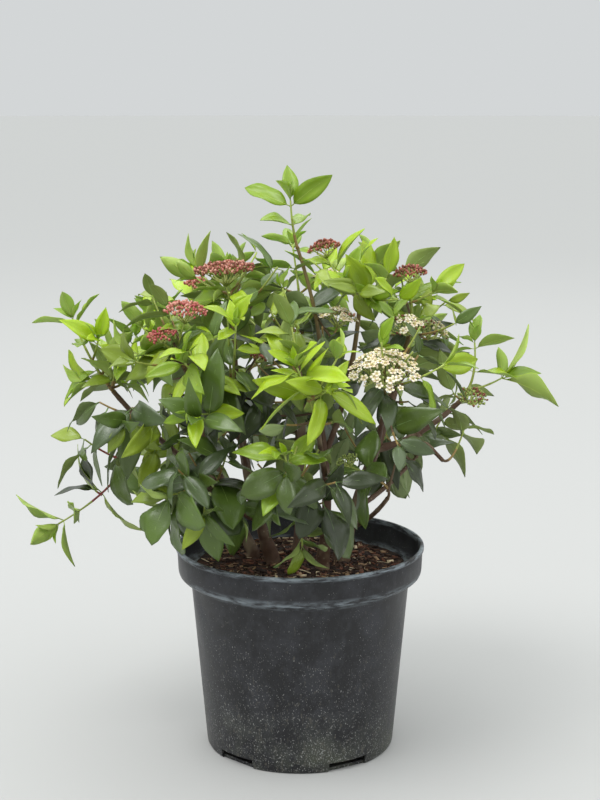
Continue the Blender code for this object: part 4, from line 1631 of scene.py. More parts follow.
    def grow(self) -> None:
        """The stem first, then the set shoots, then the seeded ones, as in the solids."""
        lead = self.row.shoots[0]
        direction = self.limb.directions[-1]
        start = self.limb.points[-1] + RULE.gap * direction
        radius = min(RULE.stem_radius, RULE.stem_share * self.limb.radii[-1])
        stem = self.add_twig(start, at(lead.tip), radius, direction)
        stem.shoot = lead
        self.tips = [at(shoot.tip) for shoot in self.row.shoots]
        for shoot in self.row.shoots[1:]:
            tip = at(shoot.tip)
            twig = self.add_twig(self.fork_for(stem.points, tip), tip, RULE.twig_radius)
            if twig:
                twig.shoot = shoot
        self.seeded_twigs(self.row.fill)
        for twig in self.twigs:
            if twig.shoot.head:
                self.add_head(twig, twig.shoot.head * MM)
        for twig in self.twigs:
            self.dress(twig.points, twig.shoot, 0, twig.shoot.pairs)

    def add_growing_point(self, twig: GrownTwig) -> None:
        """The small leaves that are still unfolding at a spring twig's tip.

        Args:
            twig: The twig.
        """
        axis = (twig.points[-1] - twig.points[-2]).normalized()
        across = axis.orthogonal().normalized()
        other = axis.cross(across)
        spin = math.radians(twig.shoot.turn)
        for order, (scale, opening) in enumerate(zip(self.finer.point_scale,
                                                     self.finer.point_opening)):
            self.add_pair(twig.tip, (axis, across, other), spin + RULE.point_turn * order,
                          opening, twig.shoot.leaf * MM * scale, twig.shoot.age)

    def grow_finer(self) -> None:
        """Carry the mass on: growing points, more pairs, then finer twigs in the room left."""
        self.draw = random.Random(self.row.seed + self.finer.seed_step)
        coarse = list(self.twigs)
        for twig in coarse:
            if twig.shoot.age in (YOUNG, FLUSH) and not twig.shoot.head:
                self.add_growing_point(twig)
            last = min(len(RULE.leaf_opening), twig.shoot.pairs + self.finer.pairs)
            older = replace(twig.shoot, age=OLDER[twig.shoot.age.name])
            self.dress(twig.points, older, twig.shoot.pairs, last)
        self.seeded_twigs(self.finer.twigs)
        for twig in self.twigs[len(coarse):]:
            size = twig.shoot.leaf * self.finer.leaf_scale
            aged = self.draw.random() < self.finer.older_share
            age = OLDER[twig.shoot.age.name] if aged else twig.shoot.age
            twig.shoot = replace(twig.shoot, leaf=size, age=age)
            self.dress(twig.points, twig.shoot, 0, len(RULE.leaf_opening))


@dataclass(frozen=True)
class LeafBlade:
    """One leaf's own form, in shares of its length, ready to be copied.

    Slot 0 is the upper face, slot 1 the underside and slot 2 the midrib with its stalk.
    """

    width: float
    arch: float
    fold: float
    curl: float = 0.0
    wave: float = 0.0
    twist: float = 0.0
    roll: float = 0.0
    foot_power: float = 0.82
    tip_power: float = 0.98
    stalk: float = 0.09
    thickness: float = 0.007
    rib_radius: float = 0.013
    vein_depth: float = 0.010
    vein_pairs: float = 4.5
    across: int = 4
    along: int = 10
    rib_rings: int = 5
    rib_reach: float = 0.96
    rib_taper: float = 0.78
    rib_sink: float = 0.002
    curl_from: float = 0.55
    wave_rate: float = 9.0
    least_width: float = 0.004
    vein_slant: float = 1.1
    vein_spread: float = 1.1
    under_from: float = -0.05

    def half_width(self, share: float) -> float:
        """Half the blade's width at a share of its length: full below the middle, pointed.

        Args:
            share: The share of its length, from the foot.

        Returns:
            Half the width.
        """
        middle = self.foot_power / (self.foot_power + self.tip_power)
        full = (middle ** self.foot_power) * ((1.0 - middle) ** self.tip_power)
        outline = (share ** self.foot_power) * ((1.0 - share) ** self.tip_power)
        return 0.5 * self.width * outline / full

    def height(self, along: float, across: float) -> float:
        """Height of the blade over its chord at a place along and across.

        Args:
            along: How far along the blade.
            across: How far from the midrib.

        Returns:
            The height.
        """
        rise = self.fold * abs(across) - self.arch * along * along
        rise -= self.curl * max(0.0, along - self.curl_from) ** 2
        rise += (self.wave * math.sin(self.wave_rate * along) + self.roll * along) * across
        return rise

    def surface(self, across: float, share: float) -> Vector:
        """A place of the blade, given in shares of its own width and length.

        Args:
            across: From -1 at one edge to 1 at the other.
            share: From 0 at the foot to 1 at the tip.

        Returns:
            The place.
        """
        share = min(max(share, 0.0), 1.0)
        along = self.stalk + (1.0 - self.stalk) * share
        offset = across * max(self.half_width(share), self.least_width)
        vein = math.cos(math.tau * (self.vein_pairs * share - self.vein_slant * abs(across)))
        spread = min(1.0, abs(across) * self.vein_spread)
        relief = self.vein_depth * vein * math.sin(math.pi * spread)
        sway = self.twist * along * along
        return Vector((offset + sway, along, self.height(along, offset) + relief))

    def pattern(self) -> Pattern:
        """Make the blade, give it thickness, and lay the midrib along it.

        Returns:
            The leaf's pattern.
        """
        shape = bmesh.new()
        bmesh.ops.create_grid(shape, x_segments=self.across, y_segments=self.along, size=1.0)
        for corner in shape.verts:
            corner.co = self.surface(corner.co.x, 0.5 * (corner.co.y + 1.0))
        bmesh.ops.solidify(shape, geom=shape.faces[:], thickness=self.thickness)
        bmesh.ops.recalc_face_normals(shape, faces=shape.faces[:])
        for face in shape.faces:
            face.normal_update()
            face.material_index = 0 if face.normal.z > self.under_from else 1
        rib = tube_shape(3, self.rib_rings)
        for corner in rib.verts:
            share = corner.co.z
            along = self.rib_reach * share
            radius = self.rib_radius * (1.0 - self.rib_taper * share)
            middle = Vector((
                self.twist * along * along, along, self.height(along, 0.0) - self.rib_sink
            ))
            corner.co = middle + radius * Vector((corner.co.x, 0.0, corner.co.y))
        bmesh.ops.recalc_face_normals(rib, faces=rib.faces[:])
        for face in rib.faces:
            face.material_index = 2
        scrap = bpy.data.meshes.new("midrib")
        rib.to_mesh(scrap)
        rib.free()
        shape.from_mesh(scrap)
        bpy.data.meshes.remove(scrap)
        return Pattern.from_shape(shape)


@dataclass
class LeafDresser:
    """Deals out leaf blades and their tints to the leaves that grew."""

    seed: int = 77
    forms_each: int = 7
    basal_height: float = 252 * MM
    basal_share: float = 0.6
    # Within this radius of the axis and below this height, leaves take a darker tint as painted
    # shade
    painted_shade_radius: float = 92 * MM
    painted_shade_height: float = 320 * MM
    turn_stray: float = 0.24
    own_tint_share: float = 0.7
    patterns: dict = field(default_factory=dict)
    pieces: dict = field(default_factory=dict)

    TINTS = {
        "flush": ((LEAF_LIME, LEAF_LIME, LEAF_BRIGHT), LEAF_SOFT_UNDER, RIB_LIME),
        "young": ((LEAF_BRIGHT, LEAF_FRESH, LEAF_LIME), LEAF_SOFT_UNDER, RIB_LIME),
        "grown": ((LEAF_MID, LEAF_MEADOW, LEAF_MOSS), LEAF_MID_UNDER, RIB_PALE),
        "old": ((LEAF_DARK, LEAF_BLUE, LEAF_DEEP), LEAF_OLD_UNDER, RIB_OLD),
    }
    PIECES = {"flush": "young", "young": "young", "grown": "grown", "old": "old"}
    # For each form its kind, its slimness, the range of its arch, its curl and its point
    FORMS = {
        "flush": (FLUSH, 0.90, (0.5, 1.5), 0.05, 1.05),
        "young": (YOUNG, 0.90, (0.5, 1.9), 0.15, 1.0),
        "grown": (GROWN, 0.84, (0.6, 1.8), 0.4, 1.0),
        "old": (OLD, 0.80, (0.6, 1.8), 0.7, 1.0),
        "basal": (OLD, 1.2, (0.2, 0.9), 0.3, 0.7),
    }
    # Between which factors each measure of a form strays; its arch has the form's own
    STRAYS = {
        "width": (0.86, 1.12), "arch": (), "fold": (0.9, 2.4), "curl": (0.2, 1.2),
        "wave": (-0.3, 0.3), "twist": (-0.12, 0.12), "roll": (-0.5, 0.5), "tip_power": (0.9, 1.1),
    }

    def __post_init__(self) -> None:
        """Make a few forms of blade for each age, and an empty piece for each."""
        draw = random.Random(self.seed)
        for form, (kind, slim, arch, curl, tip_power) in self.FORMS.items():
            measures = {"width": kind.width * slim, "arch": kind.arch, "fold": kind.fold,
                        "curl": curl, "tip_power": tip_power}
            self.patterns[form] = [
                LeafBlade(**{
                    name: measures.get(name, 1.0) * draw.uniform(*(stray or arch))
                    for name, stray in self.STRAYS.items()
                }).pattern()
                for _ in range(self.forms_each)
            ]
        for name in dict.fromkeys(self.PIECES.values()):
            finishes = tuple(dict.fromkeys(
                finish for kind, (tints, under, rib) in self.TINTS.items()
                if self.PIECES[kind] == name for finish in (*tints, under, rib)
            ))
            self.pieces[name] = JoinedPiece(f"leaves_{name}", finishes)

    def add(self, leaf: GrownLeaf) -> None:
        """Dress one leaf: a form and a stray by chance, a tint by its spray, and a darker tint as
        painted shade for leaves deep inside the crown.

        Args:
            leaf: The leaf as it grew.
        """
        draw = random.Random(f"{leaf.base.x:.5f} {leaf.base.y:.5f} {leaf.length:.5f}")
        tints, under, rib = self.TINTS[leaf.age.name]
        number = leaf.spray if draw.random() < self.own_tint_share else draw.randrange(3)
        # Painted shade: leaves near the crown's middle and low in it take a fixed tint, the moss
        # tint if grown and otherwise the first tint, which for old leaves is the dark one
        if leaf.base.xy.length < self.painted_shade_radius and leaf.base.z < self.painted_shade_height:
            number = 2 if leaf.age is GROWN else 0
        aged = leaf.age in (GROWN, OLD)
        basal = aged and leaf.base.z < self.basal_height and draw.random() < self.basal_share
        if basal and leaf.age is GROWN:
            number = 2
        pattern = draw.choice(self.patterns["basal" if basal else leaf.age.name])
        turn = Matrix.Rotation(draw.gauss(0.0, self.turn_stray), 3, leaf.heading)
        face = turn @ leaf.face
        side = leaf.heading.cross(face).normalized()
        places = pattern.placed(leaf.base, side, leaf.heading, face, leaf.length)
        piece = self.pieces[self.PIECES[leaf.age.name]]
        piece.add(places, pattern, (tints[number % len(tints)], under, rib))

    def build(self, nodes: Sequence[str]) -> None:
        """Make the three leaf pieces, which stand for all the foliage masses."""
        for name, piece in self.pieces.items():
            piece.build(f"leaf_{name}", nodes)


@dataclass
class TwigDresser:
    """Dresses the twigs: woody at the foot, red and then green towards the tip."""

    sides: int = 7
    rings: int = 13
    sunk: float = 1.2 * MM
    slimness: float = 0.86
    tip_share: float = 0.8
    node_swell: float = 0.14
    node_rings: int = 4
    foot_swell: float = 1.25

    # The finishes of the lower, middle and upper third, by the age of the twig's leaves
    THIRDS = {
        "flush": (TWIG_TAN, TWIG_GREEN, TWIG_LIME),
        "young": (TWIG_TAN, TWIG_GREEN, TWIG_LIME),
        "grown": (TWIG_WOOD, TWIG_TAN, TWIG_GREEN),
        "old": (TWIG_WOOD, TWIG_WOOD, TWIG_TAN),
    }
    LOW_THIRDS = (TWIG_RED, TWIG_RED, TWIG_GREEN)

    def __post_init__(self) -> None:
        """Make the tube, with a slot for its lower, middle and upper third."""
        shape = tube_shape(self.sides, self.rings)
        for face in shape.faces:
            share = face.calc_center_median().z
            face.material_index = 0 if share < 0.34 else 1 if share < 0.67 else 2
        self.pattern = Pattern.from_shape(shape)
        finishes = (TWIG_WOOD, TWIG_TAN, TWIG_RED, TWIG_GREEN, TWIG_LIME)
        self.piece = JoinedPiece("twigs", finishes)

    def add(self, twig: GrownTwig, low: bool) -> None:
        """Bend one twig's tube, sink its foot and swell it at its leaf nodes.

        Args:
            twig: The twig as it grew.
            low: Whether it is on the low left branch.
        """
        thirds = self.LOW_THIRDS if low else self.THIRDS[twig.shoot.age.name]
        heading = (twig.control - twig.start).normalized()
        tip = twig.hub or twig.tip
        points = bent_line(twig.start - self.sunk * heading, twig.control, tip, self.rings)
        share = np.linspace(0.0, 1.0, self.rings)
        last = RULE.tip_radius * self.tip_share
        radii = self.slimness * (twig.foot_radius + (last - twig.foot_radius) * share)
        radii *= 1.0 + self.node_swell * (np.arange(self.rings) % self.node_rings == 0)
        radii[0] *= self.foot_swell
        self.piece.add(swept_places(self.pattern, points, radii), self.pattern, thirds)

    def build(self) -> None:
        """Make the piece of all twigs."""
        self.piece.build("bark", ())


@dataclass
class BlossomDresser:
    """Builds each flower head: a hub, three orders of rays, then buds and open flowers."""

    bud_length: float = 2.6 * MM
    flower_radius: float = 3.4 * MM
    ray_radius: float = 0.5 * MM
    bud_spacing: float = 1.9 * MM
    bud_crowding: float = 2.6
    ray_spacing: float = 5.2 * MM
    ray_crowding: float = 1.6
    primary_rays: int = 8
    hub_drop: float = 0.55
    open_head_share: float = 0.36
    open_from: float = 0.3
    bud_slimness: float = 0.72
    bud_swell: float = 0.2
    bud_foot: float = 0.35
    lobes: int = 5
    lobe_lift: float = 0.22
    stamen_lean: float = 0.35
    ray_stray: float = 0.2
    primary_reach: float = 0.5
    middle_reach: float = 0.05
    primary_drop: float = 0.18
    secondary_reach: float = 0.9
    secondary_doming: float = 0.12
    least_secondaries: int = 7
    least_buds: int = 9
    bud_turn: float = 0.4
    bud_stray: float = 0.25
    bud_upright: float = 0.9
    golden_turn: float = math.pi * (3.0 - math.sqrt(5.0))

    # The width of the three orders of ray, in ray radii
    RAY_WIDTHS = (1.9, 1.15, 0.65)
    RAY_TAPER = (1.0, 0.85, 0.8)
    LOBE_PLACE = (0.58, 0.0, 0.1)
    LOBE_SIZE = (0.44, 0.38, 0.07, 1.0)
    STAMEN_PLACE = (0.1, 0.0, 0.3)
    # Between which sizes flowers and buds stray, and between which heights the buds stand
    FLOWER_SIZES = (0.72, 1.15)
    BUD_SIZES = (0.8, 1.15)
    BUD_LIFTS = (-0.1, 0.07)

    def __post_init__(self) -> None:
        """Make the bud, the flower and the ray, and the empty piece."""
        self.bud = self.bud_pattern()
        self.flower = self.flower_pattern()
        self.ray = Pattern.from_shape(tube_shape(3, 3))
        self.piece = JoinedPiece("blossom", (
            BUD_PINK, BUD_ROSE, BUD_MAGENTA, BUD_BROWN, BUD_GREEN, BUD_CREAM,
            RAY_GREEN, PETAL, PETAL_BLUSH, ANTHER,
        ))

    def bud_pattern(self) -> Pattern:
        """An egg-shaped bud of unit length that stands on its narrow end, along Z.

        Returns:
            The bud's pattern.
        """
        shape = bmesh.new()
        bmesh.ops.create_uvsphere(shape, u_segments=6, v_segments=5, radius=0.5)
        for corner in shape.verts:
            slimness = self.bud_slimness + self.bud_swell * corner.co.z
            corner.co = Vector((
                corner.co.x * slimness, corner.co.y * slimness, corner.co.z + self.bud_foot
            ))
        return Pattern.from_shape(shape)

    def flower_pattern(self) -> Pattern:
        """A flower of unit radius: five round lobes, a cup and five stamens.

        Slot 0 is the petals, slot 1 the cup and slot 2 the stamens.

        Returns:
            The flower's pattern.
        """
        shape = bmesh.new()
        for lobe in range(self.lobes):
            turn = Matrix.Rotation(math.tau * lobe / self.lobes, 4, "Z")
            tilt = Matrix.Rotation(-self.lobe_lift, 4, "Y")
            matrix = turn @ tilt @ Matrix.Translation(self.LOBE_PLACE)
            matrix = matrix @ Matrix.Diagonal(self.LOBE_SIZE)
            bmesh.ops.create_uvsphere(shape, u_segments=7, v_segments=3, radius=1.0, matrix=matrix)
        petals = len(shape.faces)
        bmesh.ops.create_cone(
            shape, cap_ends=True, segments=5, radius1=0.12, radius2=0.32, depth=0.45,
            matrix=Matrix.Translation((0.0, 0.0, -0.12)),
        )
        cup = len(shape.faces)
        for stamen in range(self.lobes):
            turn = Matrix.Rotation(math.tau * (stamen + 0.5) / self.lobes, 4, "Z")
            lean = Matrix.Rotation(self.stamen_lean, 4, "Y")
            matrix = turn @ lean @ Matrix.Translation(self.STAMEN_PLACE)
            bmesh.ops.create_cone(
                shape, cap_ends=True, segments=3, radius1=0.03, radius2=0.1, depth=0.6,
                matrix=matrix,
            )
        shape.faces.ensure_lookup_table()
        for number, face in enumerate(shape.faces):
            face.material_index = 0 if number < petals else 1 if number < cup else 2
        return Pattern.from_shape(shape)

    def add_ray(self, start: np.ndarray, end: np.ndarray, order: int) -> None:
        """A slim stalk between two places.

        Args:
            start: Where it leaves from.
            end: Where it ends.
            order: Its order, from 0 at the hub.
        """
        radius = self.RAY_WIDTHS[order] * self.ray_radius
        points = np.array([start, 0.5 * (start + end), end])
        radii = radius * np.array(self.RAY_TAPER)
        self.piece.add(swept_places(self.ray, points, radii), self.ray, (RAY_GREEN,))

    def add_bloom(self, draw: random.Random, place: np.ndarray, aim: Vector,
                  style: HeadStyle) -> None:
        """A bud or an open flower at a place, turned about its aim by chance.

        Args:
            draw: The head's draws.
            place: Where it sits.
            aim: The way it looks.
            style: The head's state.
        """
        side = aim.orthogonal().normalized()
        side.rotate(Matrix.Rotation(draw.uniform(0, math.tau), 3, aim))
        other = aim.cross(side)
        base = Vector(place)
        if draw.random() < style.open_share:
            petal = draw.choice((PETAL, PETAL, PETAL_BLUSH))
            scale = self.flower_radius * draw.uniform(*self.FLOWER_SIZES)
            places = self.flower.placed(base, side, other, aim, scale)
            self.piece.add(places, self.flower, (petal, BUD_GREEN, ANTHER))
        else:
            scale = self.bud_length * style.bud_size * draw.uniform(*self.BUD_SIZES)
            places = self.bud.placed(base, side, other, aim, scale)
            self.piece.add(places, self.bud, (draw.choice(style.buds),))

    def add(self, head: GrownHead, style: HeadStyle, seed: int) -> None:
        """Build one flower head.

        Args:
            head: The head as it grew.
            style: What state it is in.
            seed: The seed of its small strays.
        """
        draw = random.Random(seed)
        radius = head.radius * style.spread
        axis = head.direction
        side = axis.orthogonal().normalized()
        axes = np.array([side[:], axis.cross(side)[:], axis[:]])
        top = np.array(head.top[:])
        hub = top - self.hub_drop * radius * axes[2]
        head.twig.hub = Vector(hub)

        def around(reach: float, angle: float, lift: float) -> np.ndarray:
            """A place round the head's axis."""
            return top + np.array([math.cos(angle) * reach, math.sin(angle) * reach, lift]) @ axes

        def nearest(starts: list, place: np.ndarray) -> np.ndarray:
            """The start that a ray to this place leaves from."""
            return min(starts, key=lambda start: np.linalg.norm(start - place))

        primaries = []
        for number in range(self.primary_rays):
            angle = math.tau * number / (self.primary_rays - 1)
            angle += draw.uniform(-self.ray_stray, self.ray_stray)
            reach = (self.primary_reach if number else self.middle_reach) * radius
            primaries.append(around(reach, angle, -self.primary_drop * radius))
            self.add_ray(hub, primaries[-1], 0)
        secondaries = []
        count = int((radius / self.ray_spacing) ** 2 * self.ray_crowding)
        count = max(self.least_secondaries, count)
        for number in range(count):
            reach = self.secondary_reach * radius * math.sqrt((number + 0.5) / count)
            lift = self.secondary_doming * radius * (1.0 - (reach / radius) ** 2)
            secondaries.append(around(reach, number * self.golden_turn, lift))
            self.add_ray(nearest(primaries, secondaries[-1]), secondaries[-1], 1)
        count = int((radius / self.bud_spacing) ** 2 * self.bud_crowding)
        count = max(self.least_buds, count)
        if style.open_share > self.open_from:
            count = int(count * self.open_head_share)
        for number in range(count):
            reach = radius * math.sqrt((number + 0.5) / count)
            angle = (number + self.bud_turn) * self.golden_turn
            angle += draw.uniform(-self.bud_stray, self.bud_stray)
            lift = style.doming * radius * (1.0 - (reach / radius) ** 2)
            lift += draw.uniform(*self.BUD_LIFTS) * radius
            place = around(reach, angle, lift)
            self.add_ray(nearest(secondaries, place), place, 2)
            outward = Vector(place - hub).normalized()
            aim = (outward + self.bud_upright * axis).normalized()
            self.add_bloom(draw, place, aim, style)

    def build(self) -> None:
        """Make the piece of all flower heads."""
        self.piece.build("leaf_grown", ())


# The low left branch and the right side are open in the photograph, the middle is dense
FINER = {
    "foliage_leader": FinerGrowth(twigs=0, pairs=0, point_scale=(0.5,), point_opening=(14,),
                                  least_leaf=26 * MM, facing=2.0),
    "foliage_left_low": FinerGrowth(twigs=0, pairs=2),
    "foliage_left": FinerGrowth(twigs=5, older_share=0.3),
    "foliage_left_inner": FinerGrowth(twigs=7, older_share=0.4),
    "foliage_left_front": FinerGrowth(twigs=3, older_share=0.2),
    "foliage_right": FinerGrowth(twigs=0, pairs=0, point_scale=(0.6,), point_opening=(16,)),
    "foliage_right_low": FinerGrowth(twigs=0, pairs=0),
    "foliage_right_up": FinerGrowth(twigs=4),
    "foliage_front_right": FinerGrowth(twigs=5, pairs=1),
    "foliage_front_right_low": FinerGrowth(twigs=0, pairs=0),
    "foliage_front_left_low": FinerGrowth(twigs=4, pairs=1),
    "foliage_centre": FinerGrowth(twigs=9),
    "foliage_front_left": FinerGrowth(twigs=8),
    "foliage_front_low": FinerGrowth(twigs=5, pairs=1),
    "foliage_top_left": FinerGrowth(twigs=7, older_share=0.4),
    "foliage_top_right": FinerGrowth(twigs=6, older_share=0.4),
    "foliage_back": FinerGrowth(twigs=8),
    "foliage_back_low": FinerGrowth(twigs=8),
    "foliage_back_right_low": FinerGrowth(twigs=3, pairs=0),
}


@dataclass
class Crown:
    """All foliage: grows the masses and hands twigs, leaves and blossom to their dressers."""

    leaves: LeafDresser = field(default_factory=LeafDresser)
    twigs: TwigDresser = field(default_factory=TwigDresser)
    blossom: BlossomDresser = field(default_factory=BlossomDresser)
    open_way: float = 95 * MM
    front_depth: float = 50 * MM
    head_lift: float = 0.4
    finer_room: float = 1.15
    solid_room: float = 0.85
    short_share: float = 0.62
    shortened: int = 0

    # The shares of a leaf's length at which it is tested
    MARKS = (0.2, 0.45, 0.7, 1.0)

    def clear_of(self, leaf: GrownLeaf, heads: Sequence, head_room: float) -> bool:
        """Whether a leaf stays out of the room over every flower head and before it.

        Args:
            leaf: The leaf.
            heads: Every flower head.
            head_room: The room's radius in radii of the head.

        Returns:
            Whether it is clear.
        """
        for head in heads:
            reach = head_room * head.radius
            room = head.top + self.head_lift * head.radius * head.direction
            sight = (EYE - room).normalized()
            open_way = self.open_way if head.top.y < self.front_depth else reach
            for share in self.MARKS:
                offset = leaf.base + share * leaf.length * leaf.heading - room
                offset -= min(max(offset.dot(sight), 0.0), open_way) * sight
                if offset.length < reach:
                    return False
        return True

    def dress(self, mass: Foliage, coarse: int, heads: Sequence) -> None:
        """Dress one mass, and keep its leaves from hiding the flower heads.

        Args:
            mass: The mass as it grew.
            coarse: How many of its leaves the solids have too.
            heads: Every flower head.
        """
        row = mass.row
        own = mass.leaves[:coarse]
        finer = [leaf for leaf in mass.leaves[coarse:]
                 if self.clear_of(leaf, heads, self.finer_room)]
        LOG.info("%s: %d leaves, %d finer ones", row.name, coarse, len(finer))
        for number, head in enumerate(mass.heads):
            self.blossom.add(head, BLOSSOMS[row.name][number].value, row.seed * 10 + number)
        for twig in mass.twigs:
            self.twigs.add(twig, row.name == "foliage_left_low")
        for leaf in own:
            leaf.length = max(leaf.length, mass.finer.least_leaf)
            face = leaf.face + mass.finer.facing * (EYE - leaf.base).normalized()
            leaf.face = (face - face.dot(leaf.heading) * leaf.heading).normalized()
            if not self.clear_of(leaf, heads, self.solid_room):
                self.shortened += 1
                leaf.length *= self.short_share
        for leaf in [*own, *finer]:
            self.leaves.add(leaf)

    def build(self, limbs: dict) -> None:
        """Grow every mass by the solids' rule and on to its finer twigs, then dress it.

        Args:
            limbs: The limbs by name.
        """
        keep_out = keep_out_shapes(limbs)
        grown = []
        for row in MASSES:
            mass = Foliage(row, limbs[row.limb], keep_out, FINER.get(row.name, FinerGrowth()))
            mass.grow()
            grown.append((mass, len(mass.leaves)))
            mass.grow_finer()
        heads = [head for mass, _ in grown for head in mass.heads]
        for mass, coarse in grown:
            self.dress(mass, coarse, heads)
        LOG.info("leaves before flower heads, shortened: %d", self.shortened)
        self.leaves.build([row.name for row in MASSES])
        self.twigs.build()
        self.blossom.build()


@dataclass
class BarkLimbs:
    """The stems and boughs with the relief of their bark, as one mesh."""

    stem_sides: int = 20
    bough_sides: int = 14
    ring_spacing: float = 2.0 * MM
    ridge: float = 0.07
    knot_spacing: float = 26 * MM
    knot_swell: float = 0.12
    foot_sink: float = 5 * MM
    tip_reach: float = 1.0 * MM
    collar_swell: float = 0.45
    collar_reach: float = 7 * MM
    leader_share: float = 0.8
    collar_fade: float = 1.6
    knot_width: float = 0.07
    least_rings: int = 8
    ridges: float = 2.2
    ridge_shift: float = 40
    ridge_pace: float = 75
    cracks: float = 5
    crack_pace: float = 260

    def line_of(self, limb: Limb) -> np.ndarray:
        """The limb's own curve, from inside what it grows from to just past its tip.

        Args:
            limb: The limb.

        Returns:
            The line's points, one row each.
        """
        first, second, control, tip = limb.curve
        if limb.name.startswith("stem"):
            first = first - self.foot_sink * UP
        end = tip + self.tip_reach * limb.directions[-1]
        length = (second - first).length + (end - second).length
        count = max(self.least_rings, int(length / self.ring_spacing))
        lead = max(2, int(count * (second - first).length / length))
        straight = np.linspace(np.array(first[:]), np.array(second[:]), lead, endpoint=False)
        return np.concatenate([straight, bent_line(second, control, end, count - lead)])

    def radii_of(self, limb: Limb, line: np.ndarray) -> np.ndarray:
        """The limb's taper along its line, with its flare or collar and its knots.

        Args:
            limb: The limb.
            line: Its line.

        Returns:
            The radius at each point.
        """
        steps = np.linalg.norm(np.diff(line, axis=0), axis=1)
        run = np.concatenate([[0.0], np.cumsum(steps)])
        coarse = np.array([point[:] for point in limb.points])
        knots = [float(np.argmin(np.linalg.norm(line - place, axis=1))) for place in coarse]
        radii = np.interp(np.arange(len(line)), knots, limb.radii)
        if limb.name == "bough_leader":
            radii *= self.leader_share
        if not limb.name.startswith("stem"):
            radii *= 1.0 + self.collar_swell * np.exp(-run / self.collar_reach * self.collar_fade)
        phase = (random.Random(limb.name).random() + run / self.knot_spacing) % 1.0
        radii *= 1.0 + self.knot_swell * np.exp(-((phase - 0.5) / self.knot_width) ** 2)
        return radii

    def roughen(self, places: np.ndarray, line: np.ndarray, pattern: Pattern) -> np.ndarray:
        """Push the surface in and out by the long ridges and hollows of the bark.

        Args:
            places: The smooth limb's places.
            line: Its line.
            pattern: Its tube.

        Returns:
            The rough limb's places.
        """
        ring = np.rint(pattern.places[:, 2] * (len(line) - 1)).astype(int)
        middle = line[ring]
        out = places - middle
        angle = np.arctan2(pattern.places[:, 1], pattern.places[:, 0])
        amount = np.array([
            noise.noise(Vector((
                self.ridges * math.cos(turn),
                self.ridges * math.sin(turn) + place[0] * self.ridge_shift,
                place[2] * self.ridge_pace,
            )))
            + 0.5 * noise.noise(Vector((
                self.cracks * math.cos(turn), self.cracks * math.sin(turn),
                place[2] * self.crack_pace,
            )))
            for turn, place in zip(angle, middle)
        ])
        return middle + out * (1.0 + self.ridge * amount)[:, None]

    def build(self, limbs: dict) -> None:
        """Make the one piece that replaces every stem and bough.

        Args:
            limbs: The limbs by name.
        """
        piece = JoinedPiece("bark_limbs", (BARK,))
        for limb in limbs.values():
            line = self.line_of(limb)
            sides = self.stem_sides if limb.name.startswith("stem") else self.bough_sides
            pattern = Pattern.from_shape(tube_shape(sides, len(line)))
            places = swept_places(pattern, line, self.radii_of(limb, line))
            piece.add(self.roughen(places, line, pattern), pattern, (BARK,))
        piece.build("bark", list(limbs))


